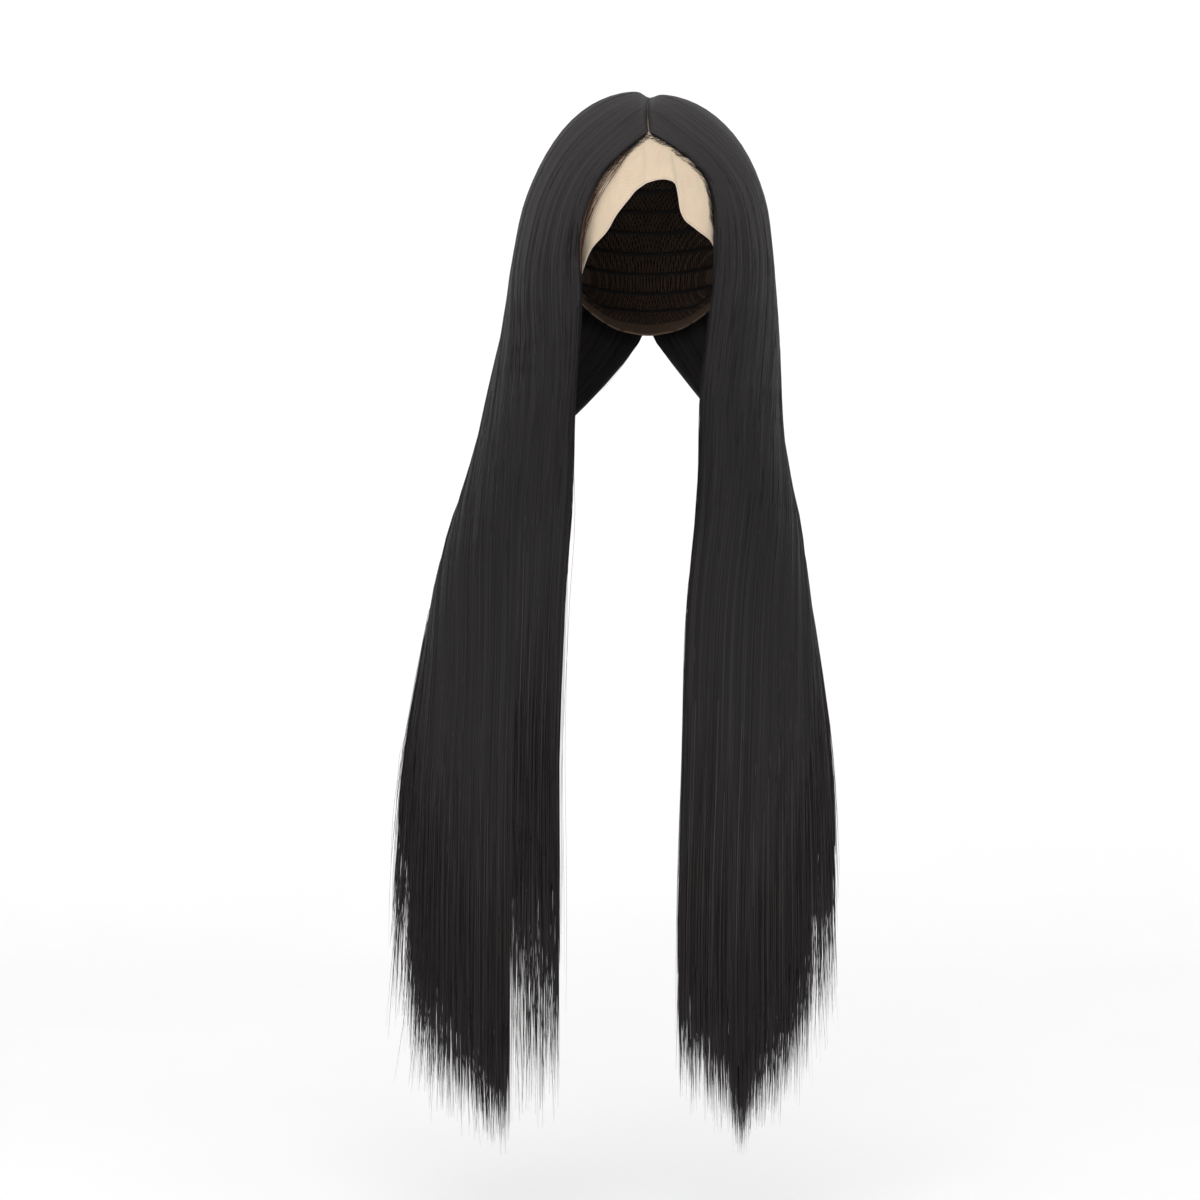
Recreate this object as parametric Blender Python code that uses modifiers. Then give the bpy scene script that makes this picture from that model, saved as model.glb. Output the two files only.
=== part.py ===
"""A long straight wig with a lace front: the cap, its lace panel and the hair of both sides.

Metres, +Z up, the face towards -Y and the picture's right towards +X. The origin is
where the top of a head meets the inside of the cap. The head is an ellipsoid, and a
place on it is an azimuth (0 at the face, positive to the picture's right, 180 at the
back) and a polar angle down from the crown.
"""

import math

import bpy
import numpy as np

# The head that the cap is cut for, 548 mm round
HEAD_HALF_WIDTH = 0.077
HEAD_HALF_DEPTH = 0.096
HEAD_CROWN_HEIGHT = 0.098
HEAD_HALF_SIZES = np.array([HEAD_HALF_WIDTH, HEAD_HALF_DEPTH, HEAD_CROWN_HEIGHT])
HEAD_CENTRE = np.array([0.0, 0.0, -HEAD_CROWN_HEIGHT])

# The cap's fabrics
LACE_THICKNESS = 0.0011
NET_THICKNESS = 0.0015
BAND_THICKNESS = 0.0022
BAND_HEIGHT = 0.008
PIECE_GAP = 0.0003
SEAM_FORWARD = 0.010
SEAM_END_ROLL = 88.0
SEAM_END_AZIMUTH = 84.0

# The lace's lower edge, from the picture's left ear over the forehead to the right
LACE_EDGE = (
    # azimuth, height
    (-84.0, -0.112),
    (-76.0, -0.127),
    (-66.0, -0.146),
    (-56.0, -0.149),
    (-47.0, -0.138),
    (-38.0, -0.1235),
    (-25.7, -0.1120),
    (-19.3, -0.0980),
    (-13.6, -0.0896),
    (-10.0, -0.0836),
    (-4.0, -0.0770),
    (5.0, -0.0735),
    (13.2, -0.0760),
    (14.4, -0.0870),
    (15.4, -0.0986),
    (18.5, -0.1050),
    (28.0, -0.1120),
    (36.0, -0.1180),
    (42.0, -0.1300),
    (49.0, -0.1420),
    (58.0, -0.1490),
    (68.0, -0.1450),
    (76.0, -0.1270),
    (84.0, -0.1120),
)
LACE_ROWS = 8

# The net's lower edge, from over the ear to the nape, the same on both sides
NET_EDGE = (
    # azimuth, height
    (84.0, -0.112),
    (100.0, -0.110),
    (115.0, -0.126),
    (130.0, -0.146),
    (150.0, -0.160),
    (180.0, -0.165),
)
NET_ROWS = 7
HEM_COLUMNS = 23

# The hair's outside on the head: where four guide hairs pass, and how far they stand off
HEAD_LEFT = (
    # azimuth, polar angle and lift of the face, front, side and back guides
    ((0, 51.5, 0.0042), (0, 22, 0.0064), (180, 8, 0.0068), (180, 30, 0.0064)),
    ((19, 64.5, 0.0045), (41, 49, 0.0122), (108, 40, 0.0134), (180, 53, 0.0120)),
    ((31.5, 76.5, 0.0050), (60, 71, 0.0160), (112, 66, 0.0175), (180, 72, 0.0150)),
    ((38.5, 94.0, 0.0070), (67, 93, 0.0240), (114, 92, 0.0260), (180, 92, 0.0170)),
)
HEAD_RIGHT = (
    # azimuth, polar angle and lift of the face, front, side and back guides
    ((0, 51.5, 0.0042), (0, 22, 0.0050), (180, 8, 0.0052), (180, 30, 0.0060)),
    ((20, 63.5, 0.0045), (41, 49, 0.0084), (108, 40, 0.0098), (180, 53, 0.0110)),
    ((33, 76.0, 0.0050), (60, 71, 0.0112), (112, 66, 0.0130), (180, 72, 0.0140)),
    ((35.5, 94.0, 0.0060), (67, 93, 0.0160), (114, 92, 0.0170), (180, 92, 0.0160)),
)

# The hair's outside below the head: height, and each guide's x and y
FALL_LEFT = (
    # height, face, front, side, back
    (-0.160, (-0.0520, -0.0815), (-0.0990, -0.0490), (-0.1060, 0.0380), (-0.0010, 0.1040)),
    (-0.200, (-0.0545, -0.0840), (-0.0990, -0.0570), (-0.1180, 0.0260), (-0.0250, 0.0900)),
    (-0.240, (-0.0575, -0.0875), (-0.1010, -0.0680), (-0.1290, 0.0090), (-0.0610, 0.0680)),
    (-0.280, (-0.0585, -0.0920), (-0.1040, -0.0800), (-0.1385, -0.0140), (-0.1010, 0.0410)),
    (-0.320, (-0.0600, -0.0970), (-0.1060, -0.0930), (-0.1460, -0.0430), (-0.1370, 0.0080)),
    (-0.370, (-0.0640, -0.1010), (-0.1070, -0.1050), (-0.1500, -0.0740), (-0.1625, -0.0250)),
    (-0.430, (-0.0665, -0.1040), (-0.1080, -0.1120), (-0.1500, -0.0950), (-0.1745, -0.0540)),
    (-0.500, (-0.0690, -0.1050), (-0.1100, -0.1160), (-0.1530, -0.1060), (-0.1855, -0.0750)),
    (-0.565, (-0.0690, -0.1050), (-0.1110, -0.1170), (-0.1550, -0.1090), (-0.1910, -0.0840)),
)
FALL_RIGHT = (
    # height, face, front, side, back
    (-0.160, (0.0440, -0.0830), (0.0870, -0.0500), (0.0930, 0.0360), (0.0010, 0.1040)),
    (-0.200, (0.0390, -0.0850), (0.0840, -0.0600), (0.0990, 0.0220), (0.0250, 0.0900)),
    (-0.240, (0.0350, -0.0880), (0.0800, -0.0715), (0.1020, 0.0040), (0.0550, 0.0690)),
    (-0.280, (0.0340, -0.0920), (0.0780, -0.0830), (0.1060, -0.0190), (0.0830, 0.0420)),
    (-0.320, (0.0320, -0.0970), (0.0750, -0.0950), (0.1085, -0.0460), (0.1050, 0.0090)),
    (-0.370, (0.0265, -0.1010), (0.0690, -0.1060), (0.1070, -0.0760), (0.1195, -0.0250)),
    (-0.430, (0.0230, -0.1040), (0.0650, -0.1130), (0.1050, -0.0960), (0.1275, -0.0540)),
    (-0.500, (0.0215, -0.1050), (0.0630, -0.1170), (0.1040, -0.1070), (0.1345, -0.0750)),
    (-0.565, (0.0195, -0.1050), (0.0610, -0.1180), (0.1040, -0.1100), (0.1370, -0.0840)),
)
# Where the hair ends, from the face edge round to the back hair
TIPS_LEFT = (
    # share of the way round, height
    (0.00, -0.700),
    (0.10, -0.712),
    (0.22, -0.745),
    (0.32, -0.765),
    (0.42, -0.758),
    (0.55, -0.735),
    (0.68, -0.700),
    (0.80, -0.678),
    (0.92, -0.650),
    (1.00, -0.615),
)
TIPS_RIGHT = (
    # share of the way round, height
    (0.00, -0.690),
    (0.12, -0.715),
    (0.25, -0.738),
    (0.36, -0.762),
    (0.44, -0.778),
    (0.55, -0.752),
    (0.68, -0.722),
    (0.80, -0.684),
    (0.90, -0.646),
    (1.00, -0.602),
)

# The thickness of the hair down its length, for the head rows, the fall rows and the tips
THICKNESS_ON_HEAD = (0.0045, 0.0120, 0.0160, 0.0190)
THICKNESS_OF_FALL = (0.013, 0.013, 0.013, 0.013, 0.013, 0.013, 0.014, 0.014, 0.013)
TIP_THICKNESS = 0.004
EDGE_THICKNESS_SHARE = 0.34
EDGE_ROUNDING = 0.10
HAIR_OFF_CAP = 0.0007
HAIR_OFF_BAND = 0.0006
BAND_TOP = -0.100

# The bundles on each side, from the face round to the back, each of two locks
BUNDLES = ("front_hair", "temple_hair", "side_hair", "rear_hair", "nape_hair")
LOCKS_PER_BUNDLE = 2
COLUMNS_PER_LOCK = 3
# How far along the hair its rows lie, the tips last, and the steps between them
ROW_DISTANCES = (
    *(0.000, 0.060, 0.098, 0.134),
    *(0.200, 0.245, 0.290, 0.334, 0.378, 0.432, 0.494, 0.565, 0.630),
    0.780,
)
STEPS_PER_ROW = (4, 3, 3, 4, 2, 2, 2, 1, 1, 1, 1, 1, 3)
LOCK_TIP_DROP = 0.030
LOCK_GROOVE = 0.16
PARTING_HALF_WIDTH = 0.0008
PARTING_LEAN = 0.0040
BUNDLE_HALF_GAP = 0.0012

COLOURS = {
    # base colour, roughness
    "hair": ((0.014, 0.012, 0.012, 1.0), 0.42),
    "lace": ((0.80, 0.66, 0.52, 1.0), 0.75),
    "net": ((0.42, 0.29, 0.20, 1.0), 0.85),
    "band": ((0.34, 0.22, 0.15, 1.0), 0.80),
}


def head_point(azimuth, polar, lift):
    """Points over the head: the ellipsoid, grown by lift. Angles are in degrees."""
    azimuth, polar = np.broadcast_arrays(np.radians(azimuth), np.radians(polar))
    across, along = np.sin(polar) * np.sin(azimuth), -np.sin(polar) * np.cos(azimuth)
    unit = np.stack([across, along, np.cos(polar)], axis=-1)
    return unit * (HEAD_HALF_SIZES + lift) + HEAD_CENTRE


def polar_at_height(height):
    return np.degrees(np.arccos(np.asarray(height) / HEAD_CROWN_HEIGHT + 1.0))


def smooth_step(share):
    share = np.clip(share, 0.0, 1.0)
    return share * share * (3.0 - 2.0 * share)


def spline_through(knots, values, places):
    """The natural cubic spline through values (one row a knot), read at places."""
    knots = np.asarray(knots, float)
    values = np.asarray(values, float)
    count = len(knots)
    gaps = np.diff(knots)
    slopes = np.diff(values, axis=0) / gaps.reshape(-1, *[1] * (values.ndim - 1))
    system = np.eye(count)
    right = np.zeros_like(values)
    for row in range(1, count - 1):
        system[row, row - 1 : row + 2] = gaps[row - 1], 2 * (gaps[row - 1] + gaps[row]), gaps[row]
        right[row] = 6 * (slopes[row] - slopes[row - 1])
    bends = np.linalg.solve(system, right.reshape(count, -1)).reshape(values.shape)
    found = np.clip(np.searchsorted(knots, places, side="right") - 1, 0, count - 2)
    shape = (-1, *[1] * (values.ndim - 1))
    gap = gaps[found].reshape(shape)
    after = (np.asarray(places) - knots[found]).reshape(shape)
    before = gap - after
    low, high = bends[found], bends[found + 1]
    curved = (low * before**3 + high * after**3) / (6 * gap)
    straight = (values[found] / gap - low * gap / 6) * before
    return curved + straight + (values[found + 1] / gap - high * gap / 6) * after


def across_guides(guides, shares):
    """Values at shares of the way round, on the cubic through the four guides of each row."""
    place = 3.0 * np.asarray(shares)[None, :, None]
    face, front, side, back = (guides[:, [k], :] for k in range(4))
    return (
        face * (place - 1) * (place - 2) * (place - 3) / -6
        + front * place * (place - 2) * (place - 3) / 2
        + side * place * (place - 1) * (place - 3) / -2
        + back * place * (place - 1) * (place - 2) / 6
    )


def closed_wall(outer, inner):
    """A closed mesh between two like grids of points: both skins and the four edges.

    The long edges are cut from outer to inner along the same diagonal on both sides, so
    that neighbours that share a twisted border keep their gap.
    """
    rows, columns = outer.shape[:2]
    top, bottom = np.arange(2 * rows * columns).reshape(2, rows, columns)

    def skin(grid):
        return np.stack([grid[:-1, :-1], grid[1:, :-1], grid[1:, 1:], grid[:-1, 1:]], axis=-1)

    def end(near, far):
        return np.stack([near[:-1], near[1:], far[1:], far[:-1]], axis=-1)

    def border(column):
        high, low = top[:, column], bottom[:, column]
        upper = np.stack([low[:-1], high[1:], high[:-1]], axis=-1)
        lower = np.stack([low[:-1], low[1:], high[1:]], axis=-1)
        return np.concatenate([upper, lower])

    quads = [skin(top).reshape(-1, 4), skin(bottom)[..., ::-1].reshape(-1, 4)]
    quads += [end(top[0], bottom[0]), end(bottom[-1], top[-1])]
    triangles = [border(0), border(-1)[:, ::-1]]
    faces = [tuple(map(int, face)) for face in np.concatenate(quads)]
    faces += [tuple(map(int, face)) for face in np.concatenate(triangles)]
    return np.concatenate([outer.reshape(-1, 3), inner.reshape(-1, 3)]), faces


def add_object(name, points, faces, material):
    mesh = bpy.data.meshes.new(name)
    mesh.from_pydata([tuple(point) for point in points], [], [tuple(map(int, f)) for f in faces])
    mesh.validate()
    mesh.materials.append(material)
    mesh.shade_smooth()
    mesh.set_sharp_from_angle(angle=math.radians(50))
    made = bpy.data.objects.new(name, mesh)
    bpy.data.collections["lace_front_wig"].objects.link(made)
    return made


def add_wall_thickness(made, thickness):
    """Solidify outwards, so that the sheet that was modelled stays the inside."""
    solidify = made.modifiers.new("wall", "SOLIDIFY")
    solidify.thickness = thickness
    solidify.offset = 1.0
    solidify.use_even_offset = True
    return made


def make_material(kind):
    colour, roughness = COLOURS[kind]
    material = bpy.data.materials.new(kind)
    material.use_nodes = True
    shader = material.node_tree.nodes["Principled BSDF"]
    shader.inputs["Base Color"].default_value = colour
    shader.inputs["Roughness"].default_value = roughness
    return material


def seam_points(behind):
    """The ear-to-ear seam, in a plane across the head a little in front of the crown."""
    roll = np.radians(np.linspace(-SEAM_END_ROLL, SEAM_END_ROLL, len(LACE_EDGE)))
    forward = (SEAM_FORWARD - behind) / HEAD_HALF_DEPTH
    reach = math.sqrt(1 - forward**2)
    unit = np.stack([reach * np.sin(roll), np.full_like(roll, -forward), reach * np.cos(roll)], -1)
    return unit * HEAD_HALF_SIZES + HEAD_CENTRE


def grid_faces(rows, columns, wrap=False):
    number = np.arange(rows * columns).reshape(rows, columns)
    if wrap:
        number = np.concatenate([number, number[:, :1]], axis=1)
    corners = [number[:-1, :-1], number[1:, :-1], number[1:, 1:], number[:-1, 1:]]
    return np.stack(corners, axis=-1).reshape(-1, 4)


def points_between(start, end, shares):
    """Points over the head from start to end, a row a share, evenly spaced by angle."""
    first = (start - HEAD_CENTRE) / HEAD_HALF_SIZES
    last = (end - HEAD_CENTRE) / HEAD_HALF_SIZES
    turn = np.arccos(np.clip((first * last).sum(axis=-1), -1, 1))[None, ..., None]
    shares = np.asarray(shares)[:, None, None]
    mixed = np.sin((1 - shares) * turn) * first + np.sin(shares * turn) * last
    return HEAD_CENTRE + mixed / np.sin(turn) * HEAD_HALF_SIZES


def make_lace_front(material):
    """The lace panel: rows run from the ear-to-ear seam down to the uncut edge."""
    edge = np.array(LACE_EDGE)
    low = head_point(edge[:, 0], polar_at_height(edge[:, 1]), 0.0)
    points = points_between(seam_points(0.0), low, np.linspace(0, 1, LACE_ROWS + 1))
    faces = grid_faces(*points.shape[:2])
    return add_wall_thickness(
        add_object("lace_front", points.reshape(-1, 3), faces, material), LACE_THICKNESS
    )


def net_edge_height(azimuth):
    """How far down the net reaches behind the ears."""
    turned = np.abs((azimuth + 180.0) % 360.0 - 180.0)
    rows = np.array(NET_EDGE)
    return np.interp(turned, rows[:, 0], rows[:, 1])


def hem_azimuths():
    """The places round the back of the head that the net's edge and the hem share."""
    return np.linspace(SEAM_END_AZIMUTH + 0.6, 359.4 - SEAM_END_AZIMUTH, HEM_COLUMNS)


def make_net_crown(material):
    """The net behind the lace: rings from a point near the crown out to its edge."""
    azimuth = hem_azimuths()
    hem = head_point(azimuth, polar_at_height(net_edge_height(azimuth)), 0.0)
    edge = np.concatenate([seam_points(PIECE_GAP), hem])
    count = len(edge)
    hub = head_point(180.0, 12.0, 0.0)
    rings = points_between(hub, edge, np.linspace(0, 1, NET_ROWS + 1)[1:]).reshape(-1, 3)
    faces = [tuple(face) for face in grid_faces(NET_ROWS, count, wrap=True)]
    faces += [(len(rings), column, (column + 1) % count) for column in range(count)]
    made = add_object("net_crown", np.vstack([rings, hub]), faces, material)
    return add_wall_thickness(made, NET_THICKNESS)


def make_edge_band(material):
    """The elastic hem below the net, from ear to ear round the nape."""
    azimuth = hem_azimuths()
    top = net_edge_height(azimuth) - 2 * PIECE_GAP
    levels = np.stack([top - share * BAND_HEIGHT for share in (0.0, 0.5, 1.0)])
    points = head_point(azimuth[None, :], polar_at_height(levels), 0.0)
    made = add_object("edge_band", points.reshape(-1, 3), grid_faces(3, len(azimuth)), material)
    return add_wall_thickness(made, BAND_THICKNESS)


def thin_at_edges(shares, depth):
    """1 across the hair, and less at the face edge and, below the head, at the back edge."""
    face = smooth_step(shares / EDGE_ROUNDING)
    back = np.maximum(smooth_step((1.0 - shares) / EDGE_ROUNDING), 1.0 - depth)
    return EDGE_THICKNESS_SHARE + (1 - EDGE_THICKNESS_SHARE) * face * back


def head_rows(shares, table, side, distances, inward):
    """The hair over the head at distances from the parting, moved in by a share of its thickness."""
    guides = np.array(table, float)
    unit = (head_point(guides[..., 0], guides[..., 1], 0.0) - HEAD_CENTRE) / HEAD_HALF_SIZES
    placed = across_guides(np.concatenate([unit, guides[..., 2:]], axis=-1), shares)
    placed = spline_through(ROW_DISTANCES[: len(guides)], placed, distances)
    unit = placed[..., :3] / np.linalg.norm(placed[..., :3], axis=-1, keepdims=True)
    thickness = np.interp(distances, ROW_DISTANCES[: len(guides)], THICKNESS_ON_HEAD)
    thickness = thickness[:, None] * thin_at_edges(shares, 0.0) * inward
    points = unit * (HEAD_HALF_SIZES + placed[..., 3:] - thickness[..., None]) + HEAD_CENTRE
    points[..., 0] *= side
    return points


def kept_off_cap(points):
    """Points that would come too close to the cap, moved out along the line from its centre."""
    at_band = smooth_step((BAND_TOP - points[..., 2:]) / BAND_HEIGHT)
    sizes = HEAD_HALF_SIZES + NET_THICKNESS + HAIR_OFF_CAP + HAIR_OFF_BAND * at_band
    reach = np.linalg.norm((points - HEAD_CENTRE) / sizes, axis=-1, keepdims=True)
    return HEAD_CENTRE + (points - HEAD_CENTRE) / np.minimum(reach, 1.0)


def fall_rows(shares, table, side, inward):
    """The hair's rows below the head, moved in by a distance along each row's own normal."""
    guides = np.array([[(*place, row[0]) for place in row[1:]] for row in table])
    points = across_guides(guides, shares)
    step = 0.001
    along = across_guides(guides, shares + step) - across_guides(guides, shares - step)
    normal = np.stack([along[..., 1], -along[..., 0]], axis=-1) * side
    normal /= np.linalg.norm(normal, axis=-1, keepdims=True)
    points[..., :2] -= normal * inward[..., None]
    return points


def hair_skin(side, shares, inside):
    """A grid of points on the hair's outside or inside: a row a station, a column a share."""
    left = side < 0
    head, table, tips = (
        (HEAD_LEFT, FALL_LEFT, TIPS_LEFT) if left else (HEAD_RIGHT, FALL_RIGHT, TIPS_RIGHT)
    )
    stations = [
        np.linspace(ROW_DISTANCES[row], ROW_DISTANCES[row + 1], count, endpoint=False)
        for row, count in enumerate(STEPS_PER_ROW)
    ]
    stations = np.concatenate([*stations, ROW_DISTANCES[-1:]])
    last_on_head = ROW_DISTANCES[len(head) - 1]
    over_head = stations[stations < last_on_head + 0.001]

    locks = len(BUNDLES) * LOCKS_PER_BUNDLE
    groove = LOCK_GROOVE * np.cos(np.pi * shares * locks) ** 8
    inward = np.ones_like(shares) if inside else groove
    on_head = head_rows(shares, head, side, over_head, inward)

    depth = smooth_step(np.arange(len(table)) / 4.0)[:, None]
    thickness = np.array(THICKNESS_OF_FALL)[:, None] * thin_at_edges(shares[None, :], depth)
    below = fall_rows(shares, table, side, thickness * inward)

    tip = fall_rows(shares, table, side, np.full_like(thickness, TIP_THICKNESS * inside))[-1]
    tips = np.array(tips)
    lock_place = np.abs(2 * (shares * locks % 1.0) - 1)
    tip[:, 2] = np.interp(shares, tips[:, 0], tips[:, 1]) + LOCK_TIP_DROP * lock_place**1.5

    rows = np.concatenate([on_head, below, tip[None]])
    knots = np.concatenate([over_head, ROW_DISTANCES[len(head) :]])
    points = spline_through(knots, rows, stations)
    points[..., 0] = side * np.maximum(side * points[..., 0], PARTING_HALF_WIDTH)
    forward, raised = smooth_step(-points[..., 1] / 0.075), smooth_step(points[..., 2] / 0.08 + 1)
    points[..., 0] -= PARTING_LEAN * forward * raised
    return kept_off_cap(points) if inside else points


def make_bundle(name, number, side, material):
    """One bundle: its share of the side's hair, from the parting to the tips."""
    columns = LOCKS_PER_BUNDLE * COLUMNS_PER_LOCK
    whole = np.linspace(0.0, 1.0, len(BUNDLES) * columns + 1)
    shares = whole[number * columns : (number + 1) * columns + 1].copy()
    if number > 0:
        shares[0] += BUNDLE_HALF_GAP
    if number < len(BUNDLES) - 1:
        shares[-1] -= BUNDLE_HALF_GAP
    outer = hair_skin(side, shares, inside=False)
    inner = hair_skin(side, shares, inside=True)
    points, faces = closed_wall(outer, inner)
    if side < 0:
        faces = [face[::-1] for face in faces]
    return add_object(name, points, faces, material)


def main():
    for old in list(bpy.data.objects):
        bpy.data.objects.remove(old)
    collection = bpy.data.collections.new("lace_front_wig")
    bpy.context.scene.collection.children.link(collection)
    materials = {kind: make_material(kind) for kind in COLOURS}
    make_lace_front(materials["lace"])
    make_net_crown(materials["net"])
    make_edge_band(materials["band"])
    for side, word in ((-1, "left"), (1, "right")):
        for number, bundle in enumerate(BUNDLES):
            make_bundle(f"{bundle}_{word}", number, side, materials["hair"])


main()
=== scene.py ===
"""The looks of a long straight wig with a lace front, laid out as an add-on.

Metres, +Z up, the face towards -Y and the picture's right towards +X. A place in the hair
of one side is a distance along the hair from the parting and a share of the way round
the head, 0 at the face and 1 at the middle of the back.
"""

import functools
import math

import bpy
import numpy as np
from bpy.props import FloatProperty, FloatVectorProperty, IntProperty, PointerProperty
from bpy.types import Operator, Panel, PropertyGroup
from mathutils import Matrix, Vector


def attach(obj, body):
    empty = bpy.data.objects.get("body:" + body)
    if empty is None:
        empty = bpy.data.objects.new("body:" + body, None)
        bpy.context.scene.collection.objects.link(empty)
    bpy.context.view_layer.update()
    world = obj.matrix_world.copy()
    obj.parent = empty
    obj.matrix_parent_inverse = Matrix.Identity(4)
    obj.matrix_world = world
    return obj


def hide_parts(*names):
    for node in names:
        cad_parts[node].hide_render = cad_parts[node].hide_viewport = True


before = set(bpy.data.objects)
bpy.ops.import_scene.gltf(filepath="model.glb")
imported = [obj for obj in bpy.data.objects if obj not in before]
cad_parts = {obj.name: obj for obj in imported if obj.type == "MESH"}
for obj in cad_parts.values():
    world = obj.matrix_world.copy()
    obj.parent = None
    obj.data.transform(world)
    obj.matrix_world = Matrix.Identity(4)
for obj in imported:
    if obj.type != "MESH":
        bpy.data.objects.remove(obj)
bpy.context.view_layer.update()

bl_info = {
    "name": "Lace front wig",
    "version": (1, 0, 0),
    "blender": (4, 5, 0),
    "location": "3D View > Sidebar > Wig",
    "description": "Builds the hair, lace, net and elastic of a long wig around its solids",
    "category": "Add Mesh",
}

# The head that the cap is cut for, with the cap's walls on it
HEAD_HALF_SIZES = np.array([0.077, 0.096, 0.098])
HEAD_CENTRE = np.array([0.0, 0.0, -0.098])
LACE_LIFT = 0.0011
NET_LIFT = 0.0015
HAIR_OFF_CAP = 0.0007
HAIR_OFF_BAND = 0.0006
BAND_HEIGHT = 0.008
BAND_TOP = -0.100
SEAM_FORWARD = 0.010
SEAM_END_ROLL = 88.0
SEAM_END_AZIMUTH = 84.0

LACE_EDGE = (
    # azimuth, height of the uncut edge, from the picture's left ear to the right
    (-84.0, -0.112),
    (-76.0, -0.127),
    (-66.0, -0.146),
    (-56.0, -0.149),
    (-47.0, -0.138),
    (-38.0, -0.1235),
    (-25.7, -0.1120),
    (-19.3, -0.0980),
    (-13.6, -0.0896),
    (-10.0, -0.0836),
    (-4.0, -0.0770),
    (5.0, -0.0735),
    (13.2, -0.0760),
    (14.4, -0.0870),
    (15.4, -0.0986),
    (18.5, -0.1050),
    (28.0, -0.1120),
    (36.0, -0.1180),
    (42.0, -0.1300),
    (49.0, -0.1420),
    (58.0, -0.1490),
    (68.0, -0.1450),
    (76.0, -0.1270),
    (84.0, -0.1120),
)
LACE_FOLDS = (
    # azimuth at the hairline, lean in degrees of azimuth a degree of polar angle, width, height
    (-24.0, -0.25, 2.6, 0.0003),
    (-4.0, 0.05, 1.5, 0.0003),
    (12.5, 0.10, 1.5, 0.0006),
    (23.0, 0.30, 2.8, 0.0003),
)
NET_EDGE = (
    # azimuth, height of the net's lower edge, the same on both sides
    (84.0, -0.112),
    (100.0, -0.110),
    (115.0, -0.126),
    (130.0, -0.146),
    (150.0, -0.160),
    (180.0, -0.165),
)

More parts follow.
